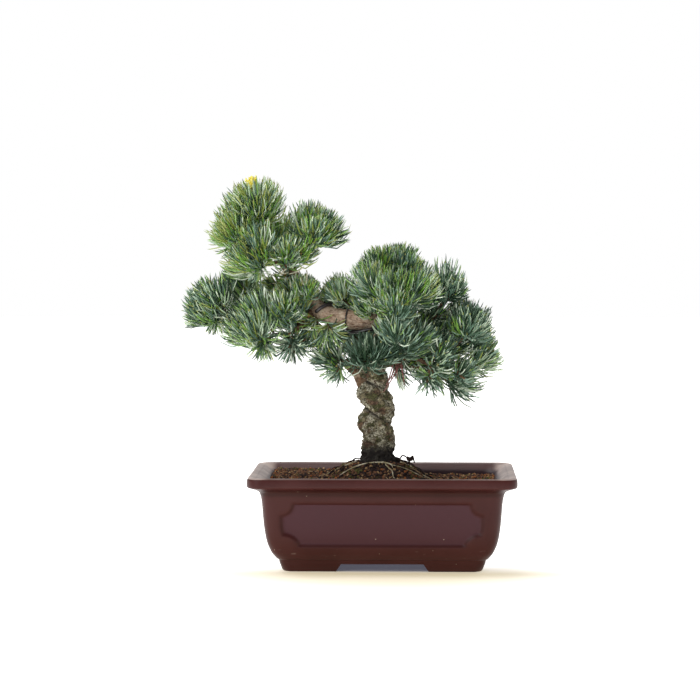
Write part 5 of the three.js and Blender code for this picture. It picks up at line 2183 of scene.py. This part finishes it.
@dataclass(frozen=True)
class Lamp:
    """A square soft light that shines at the plant, in metres and watts."""

    name: str
    at: Place
    size: float
    power: float
    colour: Place
    aim: Place = (0, 0, 0.15)

    def build(self) -> None:
        """Adds the light."""
        data = bpy.data.lights.new(self.name, "AREA")
        data.size, data.energy, data.color = self.size, self.power, self.colour
        lamp = bpy.data.objects.new(self.name, data)
        lamp.location = self.at
        lamp.rotation_euler = (Vector(self.aim) - Vector(self.at)).to_track_quat("-Z", "Y").to_euler()
        bpy.context.scene.collection.objects.link(lamp)


@dataclass
class Studio:
    """The table, the light and the camera. The camera's place is in millimetres from the pot's middle."""

    lens: float = 138.55
    sensor: float = 36
    clip: Span = (0.05, 50)
    eye: Place = (38.1, -2208, 277.1)
    aim: Place = (-0.0297, 1, -0.0457)
    table: float = 12
    lamps: tuple[Lamp, ...] = (
        Lamp("key", (-0.5, 0.2, 1.7), 1.4, 22, (1.0, 0.99, 0.97)),
        Lamp("fill", (-1.1, -1.5, 0.9), 1.0, 15, (0.97, 0.98, 1.0)),
    )
    surroundings: tuple = (("From Min", -0.7), ("From Max", 0.8), ("To Min", 0.22), ("To Max", 1.0))

    def sky(self) -> None:
        """Lights the surroundings: bright behind and above, dimmer in front, and white to the eye."""
        world = bpy.data.worlds.new("studio")
        bpy.context.scene.world = world
        world.use_nodes = True
        nodes, links = world.node_tree.nodes, world.node_tree.links
        back = nodes["Background"]
        back.inputs["Color"].default_value = (1, 1, 1, 1)
        kinds = ("TexCoord", "SeparateXYZ", "MapRange", "LightPath", "Math")
        where, split, span, seen, brightest = (nodes.new(f"ShaderNode{kind}") for kind in kinds)
        brightest.operation = "MAXIMUM"
        for socket, value in self.surroundings:
            span.inputs[socket].default_value = value
        links.new(where.outputs["Generated"], split.inputs[0])
        links.new(split.outputs["Y"], span.inputs["Value"])
        links.new(span.outputs[0], brightest.inputs[0])
        links.new(seen.outputs["Is Camera Ray"], brightest.inputs[1])
        links.new(brightest.outputs[0], back.inputs["Strength"])

    def build(self) -> None:
        """Sets the table, the lights and the camera."""
        pick()
        bpy.ops.mesh.primitive_plane_add(size=self.table, location=(0, 0, CAD_BOX[0].z))
        floor = bpy.context.object
        floor.name = floor.data.name = "table_top"
        settle(floor)
        floor.data.materials.append(FloorFinish().make())
        self.sky()
        for lamp in self.lamps:
            lamp.build()
        data = bpy.data.cameras.new("camera")
        data.lens, data.sensor_width = self.lens, self.sensor
        data.clip_start, data.clip_end = self.clip
        camera = bpy.data.objects.new("camera", data)
        camera.location = LAYOUT.place(self.eye)
        camera.rotation_euler = Vector(self.aim).to_track_quat("-Z", "Y").to_euler()
        bpy.context.scene.collection.objects.link(camera)
        bpy.context.scene.camera = camera
        bpy.context.scene.view_settings.view_transform = "Standard"


def main() -> None:
    """Builds every piece in order."""
    logging.basicConfig(level=logging.INFO, format="%(message)s")
    noise.seed_set(NOISE_SEED)
    Studio().build()
    Pot().build()
    soil = Soil()
    soil.build()
    trunk = Trunk()
    trunk.build()
    growth = Growth(trunk)
    growth.grow()
    growth.build()
    Needles(growth).build()
    PollenCones(growth).build()
    LooseNeedles().build()
    Wires(trunk).build()
    SurfaceRoots(soil).build()


if __name__ == "__main__":
    main()
